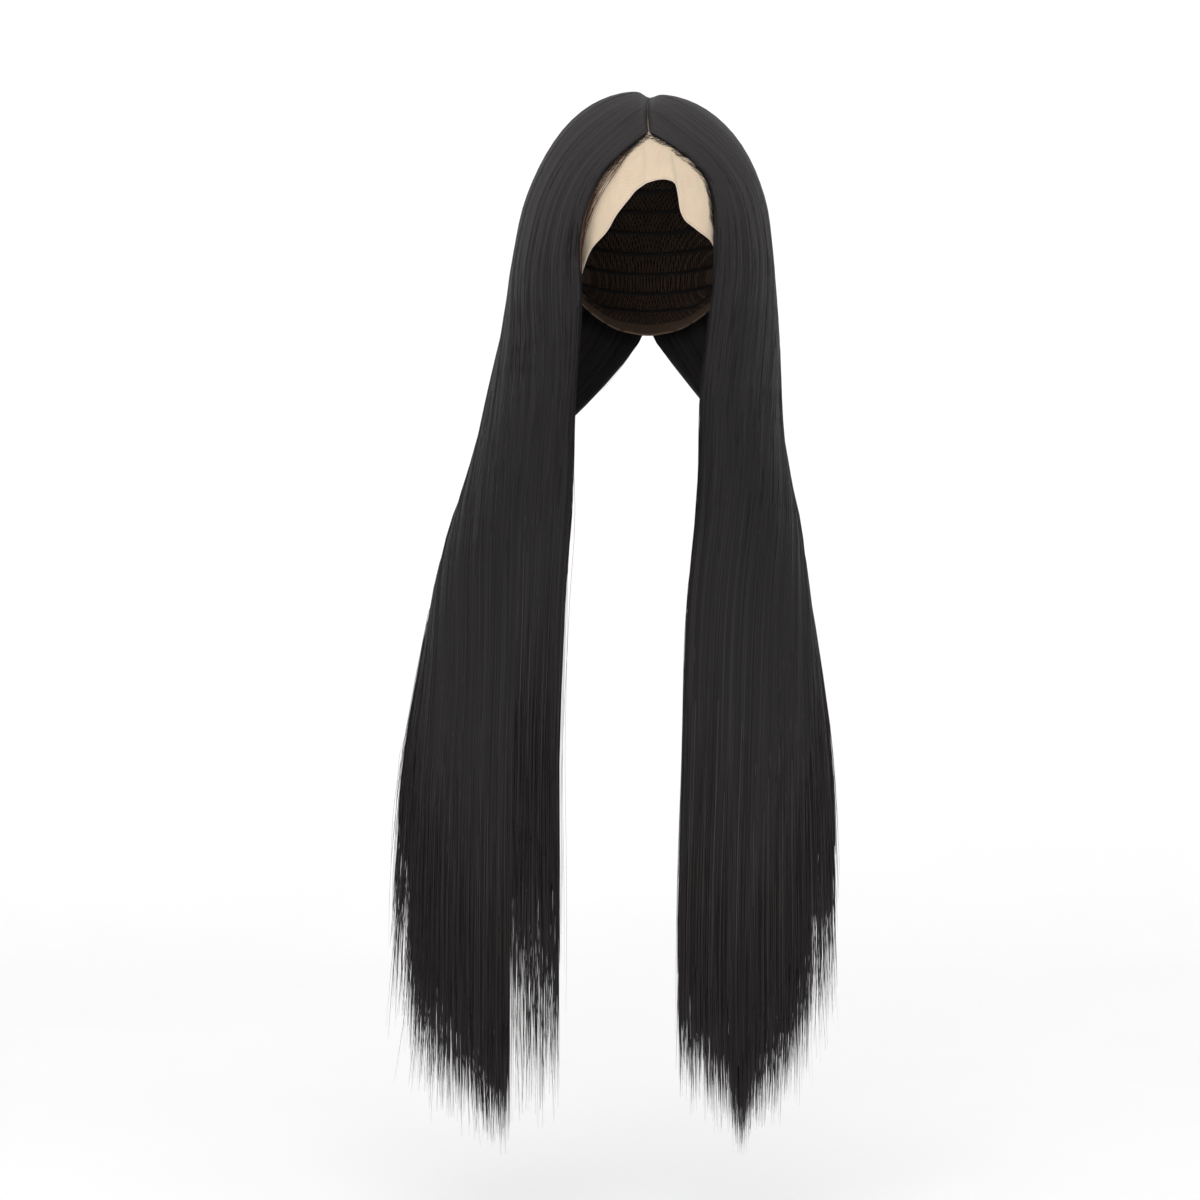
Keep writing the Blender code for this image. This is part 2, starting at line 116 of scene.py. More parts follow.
# The hair's outside: azimuth, polar angle and lift of four guide hairs over the head,
# then a height and each guide's x and y below it, then the heights where the hair ends
HAIR = {
    "left": {
        "side": -1,
        "head": (
            # face, front, side, back
            ((0, 51.5, 0.0042), (0, 22, 0.0064), (180, 8, 0.0068), (180, 30, 0.0064)),
            ((19, 64.5, 0.0045), (41, 49, 0.0122), (108, 40, 0.0134), (180, 53, 0.0120)),
            ((31.5, 76.5, 0.0050), (60, 71, 0.0160), (112, 66, 0.0175), (180, 72, 0.0150)),
            ((38.5, 94.0, 0.0070), (67, 93, 0.0240), (114, 92, 0.0260), (180, 92, 0.0170)),
        ),
        "fall": (
            # height, face, front, side, back
            (-0.160, (-0.0520, -0.0815), (-0.0990, -0.0490), (-0.1060, 0.0380), (-0.0010, 0.1040)),
            (-0.200, (-0.0545, -0.0840), (-0.0990, -0.0570), (-0.1180, 0.0260), (-0.0250, 0.0900)),
            (-0.240, (-0.0575, -0.0875), (-0.1010, -0.0680), (-0.1290, 0.0090), (-0.0610, 0.0680)),
            (-0.280, (-0.0585, -0.0920), (-0.1040, -0.0800), (-0.1385, -0.0140), (-0.1010, 0.0410)),
            (-0.320, (-0.0600, -0.0970), (-0.1060, -0.0930), (-0.1460, -0.0430), (-0.1370, 0.0080)),
            (-0.370, (-0.0640, -0.1010), (-0.1070, -0.1050), (-0.1500, -0.0740), (-0.1625, -0.0250)),
            (-0.430, (-0.0665, -0.1040), (-0.1080, -0.1120), (-0.1500, -0.0950), (-0.1745, -0.0540)),
            (-0.500, (-0.0690, -0.1050), (-0.1100, -0.1160), (-0.1530, -0.1060), (-0.1855, -0.0750)),
            (-0.565, (-0.0690, -0.1050), (-0.1110, -0.1170), (-0.1550, -0.1090), (-0.1910, -0.0840)),
        ),
        "ends": (
            # share, height where the hair thins, height of the last tips, drift in share,
            # how soon the strands end below that, how many of them there are
            (0.00, -0.680, -0.768, 0.010, 2.4, 0.80),
            (0.04, -0.640, -0.778, 0.000, 1.8, 0.95),
            (0.10, -0.600, -0.778, 0.000, 1.5, 0.90),
            (0.20, -0.590, -0.778, 0.000, 1.5, 0.78),
            (0.275, -0.585, -0.775, 0.000, 1.5, 0.60),
            (0.29, -0.730, -0.798, 0.005, 2.2, 1.00),
            (0.34, -0.740, -0.799, -0.010, 2.2, 1.00),
            (0.42, -0.735, -0.796, -0.020, 2.2, 1.00),
            (0.505, -0.715, -0.790, -0.020, 2.2, 1.00),
            (0.61, -0.700, -0.784, 0.000, 2.2, 1.00),
            (0.70, -0.690, -0.774, 0.020, 2.2, 1.00),
            (0.77, -0.680, -0.764, 0.030, 2.2, 1.00),
            (0.86, -0.665, -0.750, 0.030, 2.2, 0.90),
            (0.90, -0.600, -0.730, 0.020, 1.8, 0.60),
            (0.95, -0.580, -0.715, 0.020, 1.6, 0.50),
            (1.00, -0.585, -0.700, 0.010, 1.8, 0.50),
        ),
    },
    "right": {
        "side": 1,
        "head": (
            # face, front, side, back
            ((0, 51.5, 0.0042), (0, 22, 0.0050), (180, 8, 0.0052), (180, 30, 0.0060)),
            ((20, 63.5, 0.0045), (41, 49, 0.0084), (108, 40, 0.0098), (180, 53, 0.0110)),
            ((33, 76.0, 0.0050), (60, 71, 0.0112), (112, 66, 0.0130), (180, 72, 0.0140)),
            ((35.5, 94.0, 0.0060), (67, 93, 0.0160), (114, 92, 0.0170), (180, 92, 0.0160)),
        ),
        "fall": (
            # height, face, front, side, back
            (-0.160, (0.0440, -0.0830), (0.0870, -0.0500), (0.0930, 0.0360), (0.0010, 0.1040)),
            (-0.200, (0.0390, -0.0850), (0.0840, -0.0600), (0.0990, 0.0220), (0.0250, 0.0900)),
            (-0.240, (0.0350, -0.0880), (0.0800, -0.0715), (0.1020, 0.0040), (0.0550, 0.0690)),
            (-0.280, (0.0340, -0.0920), (0.0780, -0.0830), (0.1060, -0.0190), (0.0830, 0.0420)),
            (-0.320, (0.0320, -0.0970), (0.0750, -0.0950), (0.1085, -0.0460), (0.1050, 0.0090)),
            (-0.370, (0.0265, -0.1010), (0.0690, -0.1060), (0.1070, -0.0760), (0.1195, -0.0250)),
            (-0.430, (0.0230, -0.1040), (0.0650, -0.1130), (0.1050, -0.0960), (0.1275, -0.0540)),
            (-0.500, (0.0215, -0.1050), (0.0630, -0.1170), (0.1040, -0.1070), (0.1345, -0.0750)),
            (-0.565, (0.0195, -0.1050), (0.0610, -0.1180), (0.1040, -0.1100), (0.1370, -0.0840)),
        ),
        "ends": (
            # the same columns as on the left
            (0.00, -0.690, -0.762, 0.000, 2.2, 0.90),
            (0.165, -0.700, -0.782, 0.005, 2.2, 1.00),
            (0.28, -0.715, -0.788, 0.010, 2.2, 1.00),
            (0.34, -0.752, -0.799, 0.010, 2.0, 1.00),
            (0.39, -0.755, -0.800, -0.010, 2.0, 1.00),
            (0.47, -0.722, -0.790, -0.020, 2.2, 1.00),
            (0.585, -0.705, -0.782, -0.020, 2.2, 1.00),
            (0.70, -0.684, -0.768, -0.010, 2.2, 1.00),
            (0.775, -0.655, -0.752, 0.000, 2.0, 0.90),
            (0.80, -0.605, -0.735, 0.000, 1.7, 0.55),
            (0.90, -0.600, -0.725, 0.000, 1.6, 0.50),
            (1.00, -0.595, -0.700, 0.000, 1.8, 0.60),
        ),
    },
}
BUNDLES = ("front_hair", "temple_hair", "side_hair", "rear_hair", "nape_hair")

# How far along the hair its guide rows lie: four over the head, nine below, the lowest last
ROW_DISTANCES = (
    *(0.000, 0.060, 0.098, 0.134),
    *(0.200, 0.245, 0.290, 0.334, 0.378, 0.432, 0.494, 0.565, 0.630),
    0.885,
)
HEAD_ROWS = 4
LOWEST_FALL = 0.630
HEAD_STEPS = (4, 3, 3)
THICKNESS_ON_HEAD = (0.0045, 0.0120, 0.0160, 0.0190)
THICKNESS_OF_FALL = (0.013, 0.013, 0.013, 0.013, 0.013, 0.013, 0.014, 0.014, 0.013)
EDGE_THICKNESS_SHARE = 0.34
EDGE_ROUNDING = 0.10
PARTING_HALF_WIDTHS = (0.0004, 0.0006)
PARTING_LEAN = 0.0040

# The grid on which the hair's skins are worked out
GRID_STEP = 0.003
GRID_MARGIN = 0.06
GRID_SHARES = 375

# How the hair lies down on the cap at the parting and along the hairline
SETTLED_LIFT = 0.0019
SETTLED_GAP = 0.0010
PARTING_SETTLE = 0.011
HAIRLINE_SETTLE = 0.040
NET_BEGINS = -0.030
NET_BLEND = 0.018

# Locks, thin locks and single strands round a side, and how high each stands in the relief
LOCKS = (34, 120)
THIN_LOCKS = 96
SINGLE_STRANDS = 270
LOCK_HEIGHT = 0.0002
LOCK_GROWTH = 0.0003
THIN_LOCK_HEIGHT = 0.0003
SINGLE_HEIGHT = 0.0002

# How far strands gather into locks near their ends, and sway from side to side
GATHERING = 0.6
STRAND_SWAY = 0.003

# Painted light: how many times lighter the imported hair's colour is made at distances along it,
# most over the crown near the parting and again towards the self-shadowed ends
PAINTED_LIGHT_ALONG = (
    *((0.0, 3.0), (0.06, 2.8), (0.16, 1.5), (0.30, 1.0)),
    *((0.60, 1.1), (0.70, 1.9), (0.80, 2.3)),
)
STRAND_LOOKS = {
    # the lightest strands against the streak colour, then how many times lighter the colour is
    # painted at two places along them: painted light, over the crown near the parting and towards
    # the self-shadowed ends
    "crown_strands": (0.8, (0.1, 3.0), (0.7, 1.0)),
    "fall_strands": (0.9, (0.5, 1.0), (1.0, 2.4)),
    "tip_strands": (0.6, (0.0, 2.0), (1.0, 4.0)),
    "fine_hair": (1.6, (0.0, 1.0), (1.0, 1.0)),
    "fringe_hair": (1.0, (0.0, 1.0), (1.0, 1.0)),
}
EDGE_STRANDS = (
    # piece, side, share, how many, reach away from the middle, where they start and stop
    ("left_inner_edge_strands", "left", 0.004, 7, -0.0055, ((0.26, 0.36), (0.66, 0.80))),
    ("left_outer_edge_strands", "left", 0.990, 8, 0.0065, ((0.48, 0.54), (0.64, 0.74))),
    ("right_inner_edge_strands", "right", 0.004, 3, -0.0025, ((0.26, 0.36), (0.66, 0.80))),
    ("right_outer_edge_strands", "right", 0.990, 5, 0.0035, ((0.44, 0.52), (0.60, 0.70))),
)

# Packed hair: its grid, the distances between its rows and where its last rows begin
MASS_COLUMNS = 47
MASS_ROWS = (
    # from, up to, step
    (0.0, 0.024, 0.003),
    (0.024, 0.20, 0.008),
    (0.20, 0.54, 0.02),
)
LAST_ROWS_FROM = 0.54

# The net's two skins, the sewn rows inside it, and the threads
NET_SKINS = (0.0012, 0.0005)
NET_COLUMNS = 96
NET_RINGS = 24
NET_MAP_SIZE = 0.09
WEFT_POLAR_ANGLES = (38.0, 118.0)
WEFT_HALF_SIZES = (0.0019, 0.0004)
WEFT_SIDES = 8
EDGE_THREAD_RADIUS = 0.00028
SEWING_THREAD_RADIUS = 0.00018
STITCH_WIDTH = 0.0030
STITCH_PITCH = 0.0022
KNOT_SIZE = 0.00022

# From crest to crest of the wave texture at scale 1
WAVE_LENGTH = 0.314

# The lace's grid and how it shades the flanks of its folds
LACE_COLUMNS = 185
LACE_ROWS = 40
FOLD_FLANK_TURN = 0.6
FOLD_FLANK_DROP = 0.0006
DEEPEST_SHADE = 0.8

# The elastic's grid, the lifts of its two skins, and its ribs and stretch marks
BAND_COLUMNS = 160
BAND_ROWS = 17
BAND_SKINS = (0.0020, 0.0004)
BAND_RIBS = 4
RIB_HEIGHT = 0.00012
STRETCH_HEIGHT = 0.00010

NO_QUADS = np.zeros((0, 4), int)
NO_TRIANGLES = np.zeros((0, 3), int)


def unit(vectors):
    """Vectors brought to length 1."""
    return vectors / np.maximum(np.linalg.norm(vectors, axis=-1, keepdims=True), 1e-12)


def smooth_step(share):
    """0 up to 0, 1 from 1 on, and an even S between."""
    share = np.clip(share, 0.0, 1.0)
    return share * share * (3.0 - 2.0 * share)


def draws(seed, which, number=0):
    """Random draws of their own for a side and a bundle."""
    return np.random.default_rng(seed + 10 * number + (which == "right"))


def head_direction(points):
    """Points as seen from the head's centre, where the head is a ball of radius 1."""
    return (points - HEAD_CENTRE) / HEAD_HALF_SIZES


def off_head(direction, lift):
    """Points in directions from the head's centre, on the ellipsoid grown by lift."""
    return HEAD_CENTRE + direction * (HEAD_HALF_SIZES + lift)


def head_normal(points):
    """What is outward from the head at points near it."""
    return unit((points - HEAD_CENTRE) / HEAD_HALF_SIZES**2)


def head_point(azimuth, polar, lift):
    """Points over the head: the ellipsoid, grown by lift. Angles are in degrees."""
    azimuth, polar = np.broadcast_arrays(np.radians(azimuth), np.radians(polar))
    across, along = np.sin(polar) * np.sin(azimuth), -np.sin(polar) * np.cos(azimuth)
    direction = np.stack([across, along, np.cos(polar)], axis=-1)
    return off_head(direction, np.asarray(lift)[..., None])


def polar_at_height(height):
    """The polar angle at which the head's surface has a height."""
    return np.degrees(np.arccos(np.asarray(height) / HEAD_HALF_SIZES[2] + 1.0))


def spline_through(knots, values, places):
    """The natural cubic spline through values (one row a knot), read at places."""
    knots = np.asarray(knots, float)
    values = np.asarray(values, float)
    count = len(knots)
    gaps = np.diff(knots)
    slopes = np.diff(values, axis=0) / gaps.reshape(-1, *[1] * (values.ndim - 1))
    system = np.eye(count)
    right = np.zeros_like(values)
    for row in range(1, count - 1):
        system[row, row - 1 : row + 2] = gaps[row - 1], 2 * (gaps[row - 1] + gaps[row]), gaps[row]
        right[row] = 6 * (slopes[row] - slopes[row - 1])
    bends = np.linalg.solve(system, right.reshape(count, -1)).reshape(values.shape)
    found = np.clip(np.searchsorted(knots, places, side="right") - 1, 0, count - 2)
    shape = (-1, *[1] * (values.ndim - 1))
    gap = gaps[found].reshape(shape)
    after = (np.asarray(places) - knots[found]).reshape(shape)
    before = gap - after
    low, high = bends[found], bends[found + 1]
    curved = (low * before**3 + high * after**3) / (6 * gap)
    straight = (values[found] / gap - low * gap / 6) * before
    return curved + straight + (values[found + 1] / gap - high * gap / 6) * after


def across_guides(guides, shares):
    """Values at shares of the way round, on the cubic through the four guides of each row."""
    place = 3.0 * np.asarray(shares)[None, :, None]
    face, front, side, back = (guides[:, [k], :] for k in range(4))
    return (
        face * (place - 1) * (place - 2) * (place - 3) / -6
        + front * place * (place - 2) * (place - 3) / 2
        + side * place * (place - 1) * (place - 3) / -2
        + back * place * (place - 1) * (place - 2) / 6
    )


def thin_at_edges(shares, depth):
    """1 across the hair, and less at the face edge and, below the head, at the back edge."""
    face = smooth_step(shares / EDGE_ROUNDING)
    back = np.maximum(smooth_step((1.0 - shares) / EDGE_ROUNDING), 1.0 - depth)
    return EDGE_THICKNESS_SHARE + (1 - EDGE_THICKNESS_SHARE) * face * back


def head_rows(shares, hair, distances, inward):
    """The hair over the head at distances from the parting, moved in by inward thicknesses."""
    guides = np.array(hair["head"], float)
    places = ROW_DISTANCES[:HEAD_ROWS]
    direction = head_direction(head_point(guides[..., 0], guides[..., 1], 0.0))
    placed = across_guides(np.concatenate([direction, guides[..., 2:]], axis=-1), shares)
    placed = spline_through(places, placed, distances)
    thickness = np.interp(distances, places, THICKNESS_ON_HEAD)[:, None]
    lift = placed[..., 3] - thickness * thin_at_edges(shares, 0.0) * inward
    points = off_head(unit(placed[..., :3]), lift[..., None])
    points[..., 0] *= hair["side"]
    return points


def fall_rows(shares, hair, inward):
    """The hair's rows below the head, moved in by a distance along each row's own normal."""
    guides = np.array([[(*place, row[0]) for place in row[1:]] for row in hair["fall"]])
    points = across_guides(guides, shares)
    step = 0.001
    along = across_guides(guides, shares + step) - across_guides(guides, shares - step)
    normal = np.stack([along[..., 1], -along[..., 0]], axis=-1) * hair["side"]
    points[..., :2] -= unit(normal) * inward[..., None]
    return points


def moved_to_lift(points, lift, amount):
    """Points moved by a share along the line from the head's centre towards a given lift."""
    reach = np.linalg.norm(head_direction(points), axis=-1)
    wanted = 1.0 + lift / HEAD_HALF_SIZES.mean()
    factor = 1.0 + amount * (wanted / reach - 1.0)
    return HEAD_CENTRE + (points - HEAD_CENTRE) * factor[..., None]


def cap_clearance(points):
    """How far the hair keeps off the head: the net's wall and a gap, less over the lace."""
    at_band = smooth_step((BAND_TOP - points[..., 2]) / BAND_HEIGHT)
    over_net = smooth_step((points[..., 1] - NET_BEGINS) / NET_BLEND)
    on_net = NET_LIFT + HAIR_OFF_CAP + HAIR_OFF_BAND * at_band
    return SETTLED_LIFT - SETTLED_GAP * 0.5 + over_net * (on_net - SETTLED_LIFT + SETTLED_GAP * 0.5)


def hair_skin(hair, shares, distances, inside):
    """The hair's outside or inside: rows over the head, then rows below it, on one spline."""
    steps = [
        np.linspace(ROW_DISTANCES[row], ROW_DISTANCES[row + 1], count, endpoint=False)
        for row, count in enumerate(HEAD_STEPS)
    ]
    over_head = np.concatenate([*steps, ROW_DISTANCES[HEAD_ROWS - 1 : HEAD_ROWS]])
    clipped = np.clip(shares, 0.0, 1.0)
    on_head = head_rows(shares, hair, over_head, np.full_like(shares, float(inside)))
    depth = smooth_step(np.arange(len(hair["fall"])) / 4.0)[:, None]
    thickness = np.array(THICKNESS_OF_FALL)[:, None] * thin_at_edges(clipped[None, :], depth)
    below = fall_rows(shares, hair, thickness * float(inside))
    lowest = below[-1] - [0.0, 0.0, ROW_DISTANCES[-1] - LOWEST_FALL]
    rows = np.concatenate([on_head, below, lowest[None]])
    knots = np.concatenate([over_head, ROW_DISTANCES[HEAD_ROWS:]])
    points = spline_through(knots, rows, distances)
    kept = (shares <= 1.0)[None, :]
    side = hair["side"]
    narrow, wide = PARTING_HALF_WIDTHS
    half_width = narrow + (wide - narrow) * smooth_step((-points[..., 1] - 0.060) / 0.012)
    held = side * np.maximum(side * points[..., 0], half_width)
    points[..., 0] = np.where(kept, held, points[..., 0])
    forward, raised = smooth_step(-points[..., 1] / 0.075), smooth_step(points[..., 2] / 0.08 + 1)
    points[..., 0] -= PARTING_LEAN * forward * raised
    return points


def settling(distances, shares):
    """How far the hair lies down on the cap: 1 at the parting and the hairline, 0 beyond."""
    parting = 1.0 - smooth_step(distances[:, None] / PARTING_SETTLE)
    parting = parting * (1.0 - smooth_step((shares[None, :] - 0.50) / 0.30))
    inward = np.clip(shares / HAIRLINE_SETTLE, 0.0, 1.0)[None, :]
    hairline = 1.0 - np.sqrt(1.0 - (1.0 - inward) ** 2)
    hairline = hairline * (1.0 - smooth_step((distances[:, None] - 0.085) / 0.06))
    return np.maximum(parting, hairline)


@functools.lru_cache(maxsize=None)
def hair_grid(which):
    """Grids of a side's outer points, outward normals and inner points, and the grid's axes."""
    hair = HAIR[which]
    distances = np.arange(0.0, ROW_DISTANCES[-1] + GRID_STEP / 2, GRID_STEP)
    shares = np.linspace(-GRID_MARGIN, 1.0 + GRID_MARGIN, GRID_SHARES)
    outer = hair_skin(hair, shares, distances, inside=False)
    inner = hair_skin(hair, shares, distances, inside=True)
    kept_off = HEAD_HALF_SIZES + cap_clearance(inner)[..., None]
    short = np.linalg.norm((inner - HEAD_CENTRE) / kept_off, axis=-1)
    inner = HEAD_CENTRE + (inner - HEAD_CENTRE) / np.minimum(short, 1.0)[..., None]
    amount = settling(distances, shares)
    outer = moved_to_lift(outer, cap_clearance(outer) + SETTLED_GAP * 0.5, amount)
    along, across = np.gradient(outer, axis=0), np.gradient(outer, axis=1)
    normal = unit(np.cross(across, along)) * hair["side"]
    return distances, shares, outer, normal, inner


def read_grid(which, distances, shares):
    """Outer points, normals and inner points at any places: the four nearest, weighed."""
    rows, columns, *grids = hair_grid(which)
    row = np.clip(distances / GRID_STEP, 0.0, len(rows) - 1.001)
    column = (shares - columns[0]) / (columns[1] - columns[0])
    column = np.clip(column, 0.0, len(columns) - 1.001)
    top, left = row.astype(int), column.astype(int)
    down, right = (row - top)[..., None], (column - left)[..., None]
    found = []
    for grid in grids:
        upper = grid[top, left] * (1 - right) + grid[top, left + 1] * right
        lower = grid[top + 1, left] * (1 - right) + grid[top + 1, left + 1] * right
        found.append(upper * (1 - down) + lower * down)
    return found


@functools.lru_cache(maxsize=None)
def relief_tables(which):
    """Random heights round the hair, for locks, thin locks and single strands, at two depths."""
    rng = draws(11, which)
    counts = (LOCKS[0], THIN_LOCKS, SINGLE_STRANDS)
    return [(count, rng.uniform(-1, 1, (2, count + 1))) for count in counts]


def relief(which, distances, shares):
    """The hair's relief: three bands of random heights round it, blended slowly along it."""
    blend = 0.5 + 0.5 * np.cos(distances * math.pi / 0.42)
    total = np.zeros(np.broadcast(distances, shares).shape)
    lock = LOCK_HEIGHT + LOCK_GROWTH * smooth_step(distances / 0.30)
    heights = (lock, THIN_LOCK_HEIGHT, SINGLE_HEIGHT)
    for (count, table), height in zip(relief_tables(which), heights):
        place = np.clip(shares, 0.0, 1.0) * count
        low = np.clip(place.astype(int), 0, count - 1)
        part = smooth_step(place - low)
        upper = table[0][low] * (1 - part) + table[0][low + 1] * part
        lower = table[1][low] * (1 - part) + table[1][low + 1] * part
        total = total + height * (upper * blend + lower * (1 - blend))
    return total * smooth_step(distances / 0.06)


def end_heights(which, shares):
    """The columns of the table of ends after its first, read at shares."""
    rows = np.array(HAIR[which]["ends"])
    return [np.interp(shares, rows[:, 0], column) for column in rows.T[1:]]


def distance_at(height):
    """The distance along the hair at a height below the lowest guide row."""
    return LOWEST_FALL + HAIR["left"]["fall"][-1][0] - height


def gathered(which, distances, shares):
    """Shares drawn towards the middles of locks and thin locks as the hair nears its ends."""
    rng = draws(21, which)
    near_end = smooth_step((distances - 0.42) / 0.34)
    for count, part in zip(LOCKS, (0.35, 1.0)):
        middles = (np.arange(count) + rng.uniform(0.2, 0.8, count)) / count
        pull = rng.uniform(0.0, 1.0, count)
        lock = np.clip((shares * count).astype(int), 0, count - 1)
        shares = shares + (middles[lock] - shares) * GATHERING * part * pull[lock] * near_end
    return shares


def make_mesh(name, points, quads, triangles, material, uv=None, tone=None):
    """A smooth mesh piece from whole arrays of corners, with its map and its tone."""
    mesh = bpy.data.meshes.new(name)
    mesh.vertices.add(len(points))
    mesh.vertices.foreach_set("co", np.asarray(points, np.float32).ravel())
    loops = np.concatenate([np.asarray(quads).ravel(), np.asarray(triangles).ravel()])
    sizes = np.concatenate([np.full(len(quads), 4), np.full(len(triangles), 3)])
    mesh.loops.add(len(loops))
    mesh.loops.foreach_set("vertex_index", loops.astype(np.int32))
    mesh.polygons.add(len(sizes))
    mesh.polygons.foreach_set("loop_start", (np.cumsum(sizes) - sizes).astype(np.int32))
    mesh.update(calc_edges=True)
    mesh.validate()
    mesh.shade_smooth()
    if uv is not None:
        layer = mesh.uv_layers.new(name="fibre_map")
        layer.data.foreach_set("uv", np.asarray(uv, np.float32).ravel())
    if tone is not None:
        attribute = mesh.attributes.new("tone", "FLOAT", "POINT")
        attribute.data.foreach_set("value", np.asarray(tone, np.float32).ravel())
    mesh.materials.append(material)
    piece = bpy.data.objects.new(name, mesh)
    bpy.context.scene.collection.objects.link(piece)
    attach(piece, "root")
    return piece


def grid_quads(number):
    """The four corners of every cell of a grid of corner numbers."""
    corners = [number[:-1, :-1], number[1:, :-1], number[1:, 1:], number[:-1, 1:]]
    return np.stack(corners, axis=-1).reshape(-1, 4)


def rim_quads(near, far):
    """The quads between two rows of corner numbers."""
    return np.stack([near[:-1], near[1:], far[1:], far[:-1]], axis=-1)


def closed_wall(name, outer, inner, outward, material, uv, tone=None):
    """A closed wall between two like grids of points, its rims included."""
    rows, columns = outer.shape[:2]
    top, bottom = np.arange(2 * rows * columns).reshape(2, rows, columns)
    ends = [rim_quads(top[0], bottom[0]), rim_quads(bottom[-1], top[-1])]
    edges = [rim_quads(bottom[:, 0], top[:, 0]), rim_quads(top[:, -1], bottom[:, -1])]
    quads = np.concatenate([grid_quads(top), grid_quads(bottom)[:, ::-1], *ends, *edges])
    if outward < 0:
        quads = quads[:, ::-1]
    points = np.concatenate([outer.reshape(-1, 3), inner.reshape(-1, 3)])
    places = np.concatenate([uv.reshape(-1, 2)] * 2)
    if tone is not None:
        tone = np.concatenate([tone.ravel()] * 2)
    return make_mesh(name, points, quads, NO_TRIANGLES, material, places[quads], tone)


def make_tubes(name, paths, normals, radii, material, tone, sides=3):
    """Closed tubes: a ring of a few corners about each path, turned with the path's normal.

    A ring's corner is the path's point plus the radius times the cosine of its angle
    across the path and the sine of its angle along the normal. Both ends are capped.
    """
    count, steps = paths.shape[:2]
    tangent = unit(np.gradient(paths, axis=1))
    across = unit(np.cross(tangent, normals))
    up = np.cross(across, tangent)
    angle = np.radians(90.0 + 360.0 * np.arange(sides) / sides)
    ring = np.cos(angle)[:, None] * across[:, :, None] + np.sin(angle)[:, None] * up[:, :, None]
    points = paths[:, :, None] + radii[..., None, None] * ring
    number = np.arange(count * steps * sides).reshape(count, steps, sides)
    after = np.roll(number, -1, axis=2)
    quads = np.stack([number[:, :-1], number[:, 1:], after[:, 1:], after[:, :-1]], -1)
    caps = [number[:, 0], number[:, -1, ::-1]]
    along = np.broadcast_to(np.linspace(0, 1, steps)[None, :, None], number.shape)
    stripe = np.broadcast_to((np.arange(count)[:, None, None] + 0.1) / count, number.shape)
    corner = stripe + np.arange(sides)[None, None, :] * 0.8 / (sides * count)
    edge = corner + 0.8 / (sides * count)
    near = np.stack([corner, along], axis=-1)
    far = np.stack([edge, along], axis=-1)
    uv = np.stack([near[:, :-1], near[:, 1:], far[:, 1:], far[:, :-1]], -2).reshape(-1, 2)
    cap_uv = np.concatenate([near[:, 0].reshape(-1, 2), near[:, -1, ::-1].reshape(-1, 2)])
    tones = np.broadcast_to(np.asarray(tone)[:, None, None], number.shape)
    if sides == 3:
        faces, ends = quads.reshape(-1, 4), np.concatenate(caps)
    else:
        faces, ends = np.concatenate([quads.reshape(-1, 4), *caps]), NO_TRIANGLES
    uv = np.concatenate([uv, cap_uv])
    return make_mesh(name, points.reshape(-1, 3), faces, ends, material, uv, tones)


def tapered(count, steps, width, root=0.35, tip=0.25):
    """Radii of strands that swell from the root, keep their width and thin to a tip."""
    place = np.linspace(0, 1, steps)[None, :]
    swell = root + (1 - root) * smooth_step(place / 0.12)
    thin = tip + (1 - tip) * smooth_step((1 - place) / 0.15)
    return np.asarray(width).reshape(-1, 1) / 2 * swell * thin * np.ones((count, 1))


def finished(piece, slot, *nodes):
    """The piece stands for the solids named, which are hidden. The slot is not used."""
    if nodes:
        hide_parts(*nodes)
    return piece


def make_strands(name, paths, normals, widths, material, tones, root=0.35, tip=0.25):
    """A piece of hair: a thin tube along each path, tapered at its root and tip."""
    radii = tapered(*paths.shape[:2], widths, root, tip)
    return finished(make_tubes(name, paths, normals, radii, material, tones), "hair")


def run_along(start, stop, steps, warp=1.0):
    """How far along its strand each step lies, and its distance from start to stop."""
    place = np.linspace(0, 1, steps)[None, :] ** warp
    return place, start[:, None] + (stop - start)[:, None] * place


def new_material(name, **values):
    """A Principled material whose even values are set on its own sockets."""
    material = bpy.data.materials.new(name)
    material.use_nodes = True
    shader = material.node_tree.nodes["Principled BSDF"]
    for socket, value in values.items():
        shader.inputs[socket.replace("_", " ")].default_value = value
    return material, material.node_tree, shader


def add_node(tree, kind, inputs=None, **settings):
    """A node with its settings, and its inputs set or joined to a socket."""
    node = tree.nodes.new(kind)
    for name, value in settings.items():
        setattr(node, name, value)
    for socket, value in (inputs or {}).items():
        if isinstance(value, bpy.types.NodeSocket):
            tree.links.new(value, node.inputs[socket])
        else:
            node.inputs[socket].default_value = value
    return node


def add_ramp(tree, factor, *stops):
    """A colour ramp with (place, colour) stops."""
    node = add_node(tree, "ShaderNodeValToRGB", {"Fac": factor})
    elements = node.color_ramp.elements
    for number, (place, colour) in enumerate(stops):
        element = elements[number] if number < 2 else elements.new(place)
        element.position = place
        element.color = (*colour[:3], 1.0)
    return node.outputs["Color"]


def stretched_noise(tree, vector, scale, detail=2.0):
    """Noise along a map, stretched by a scale for each of its axes."""
    mapping = add_node(tree, "ShaderNodeMapping", {"Vector": vector, "Scale": scale})
    settings = {"Vector": mapping.outputs[0], "Scale": 1.0, "Detail": detail, "Roughness": 0.6}
    return add_node(tree, "ShaderNodeTexNoise", settings).outputs["Fac"]


def map_socket(tree):
    """The piece's own map."""
    return add_node(tree, "ShaderNodeUVMap", uv_map="fibre_map").outputs[0]


def tone_socket(tree):
    """The tone stored at each corner of the piece: the strands' own tones, the painted light along
    the packed hair and the painted shade of the lace's folds.
    """
    return add_node(tree, "ShaderNodeAttribute", attribute_name="tone").outputs["Fac"]


def worked_out(tree, operation, *values):
    """The result of one operation on sockets and numbers."""
    inputs = dict(enumerate(values))
    return add_node(tree, "ShaderNodeMath", inputs, operation=operation).outputs[0]


def read_between(tree, value, places, results):
    """A value read on the line through two places and their results."""
    names = ("Value", "From Min", "From Max", "To Min", "To Max")
    inputs = dict(zip(names, (value, *places, *results)))
    return add_node(tree, "ShaderNodeMapRange", inputs).outputs[0]


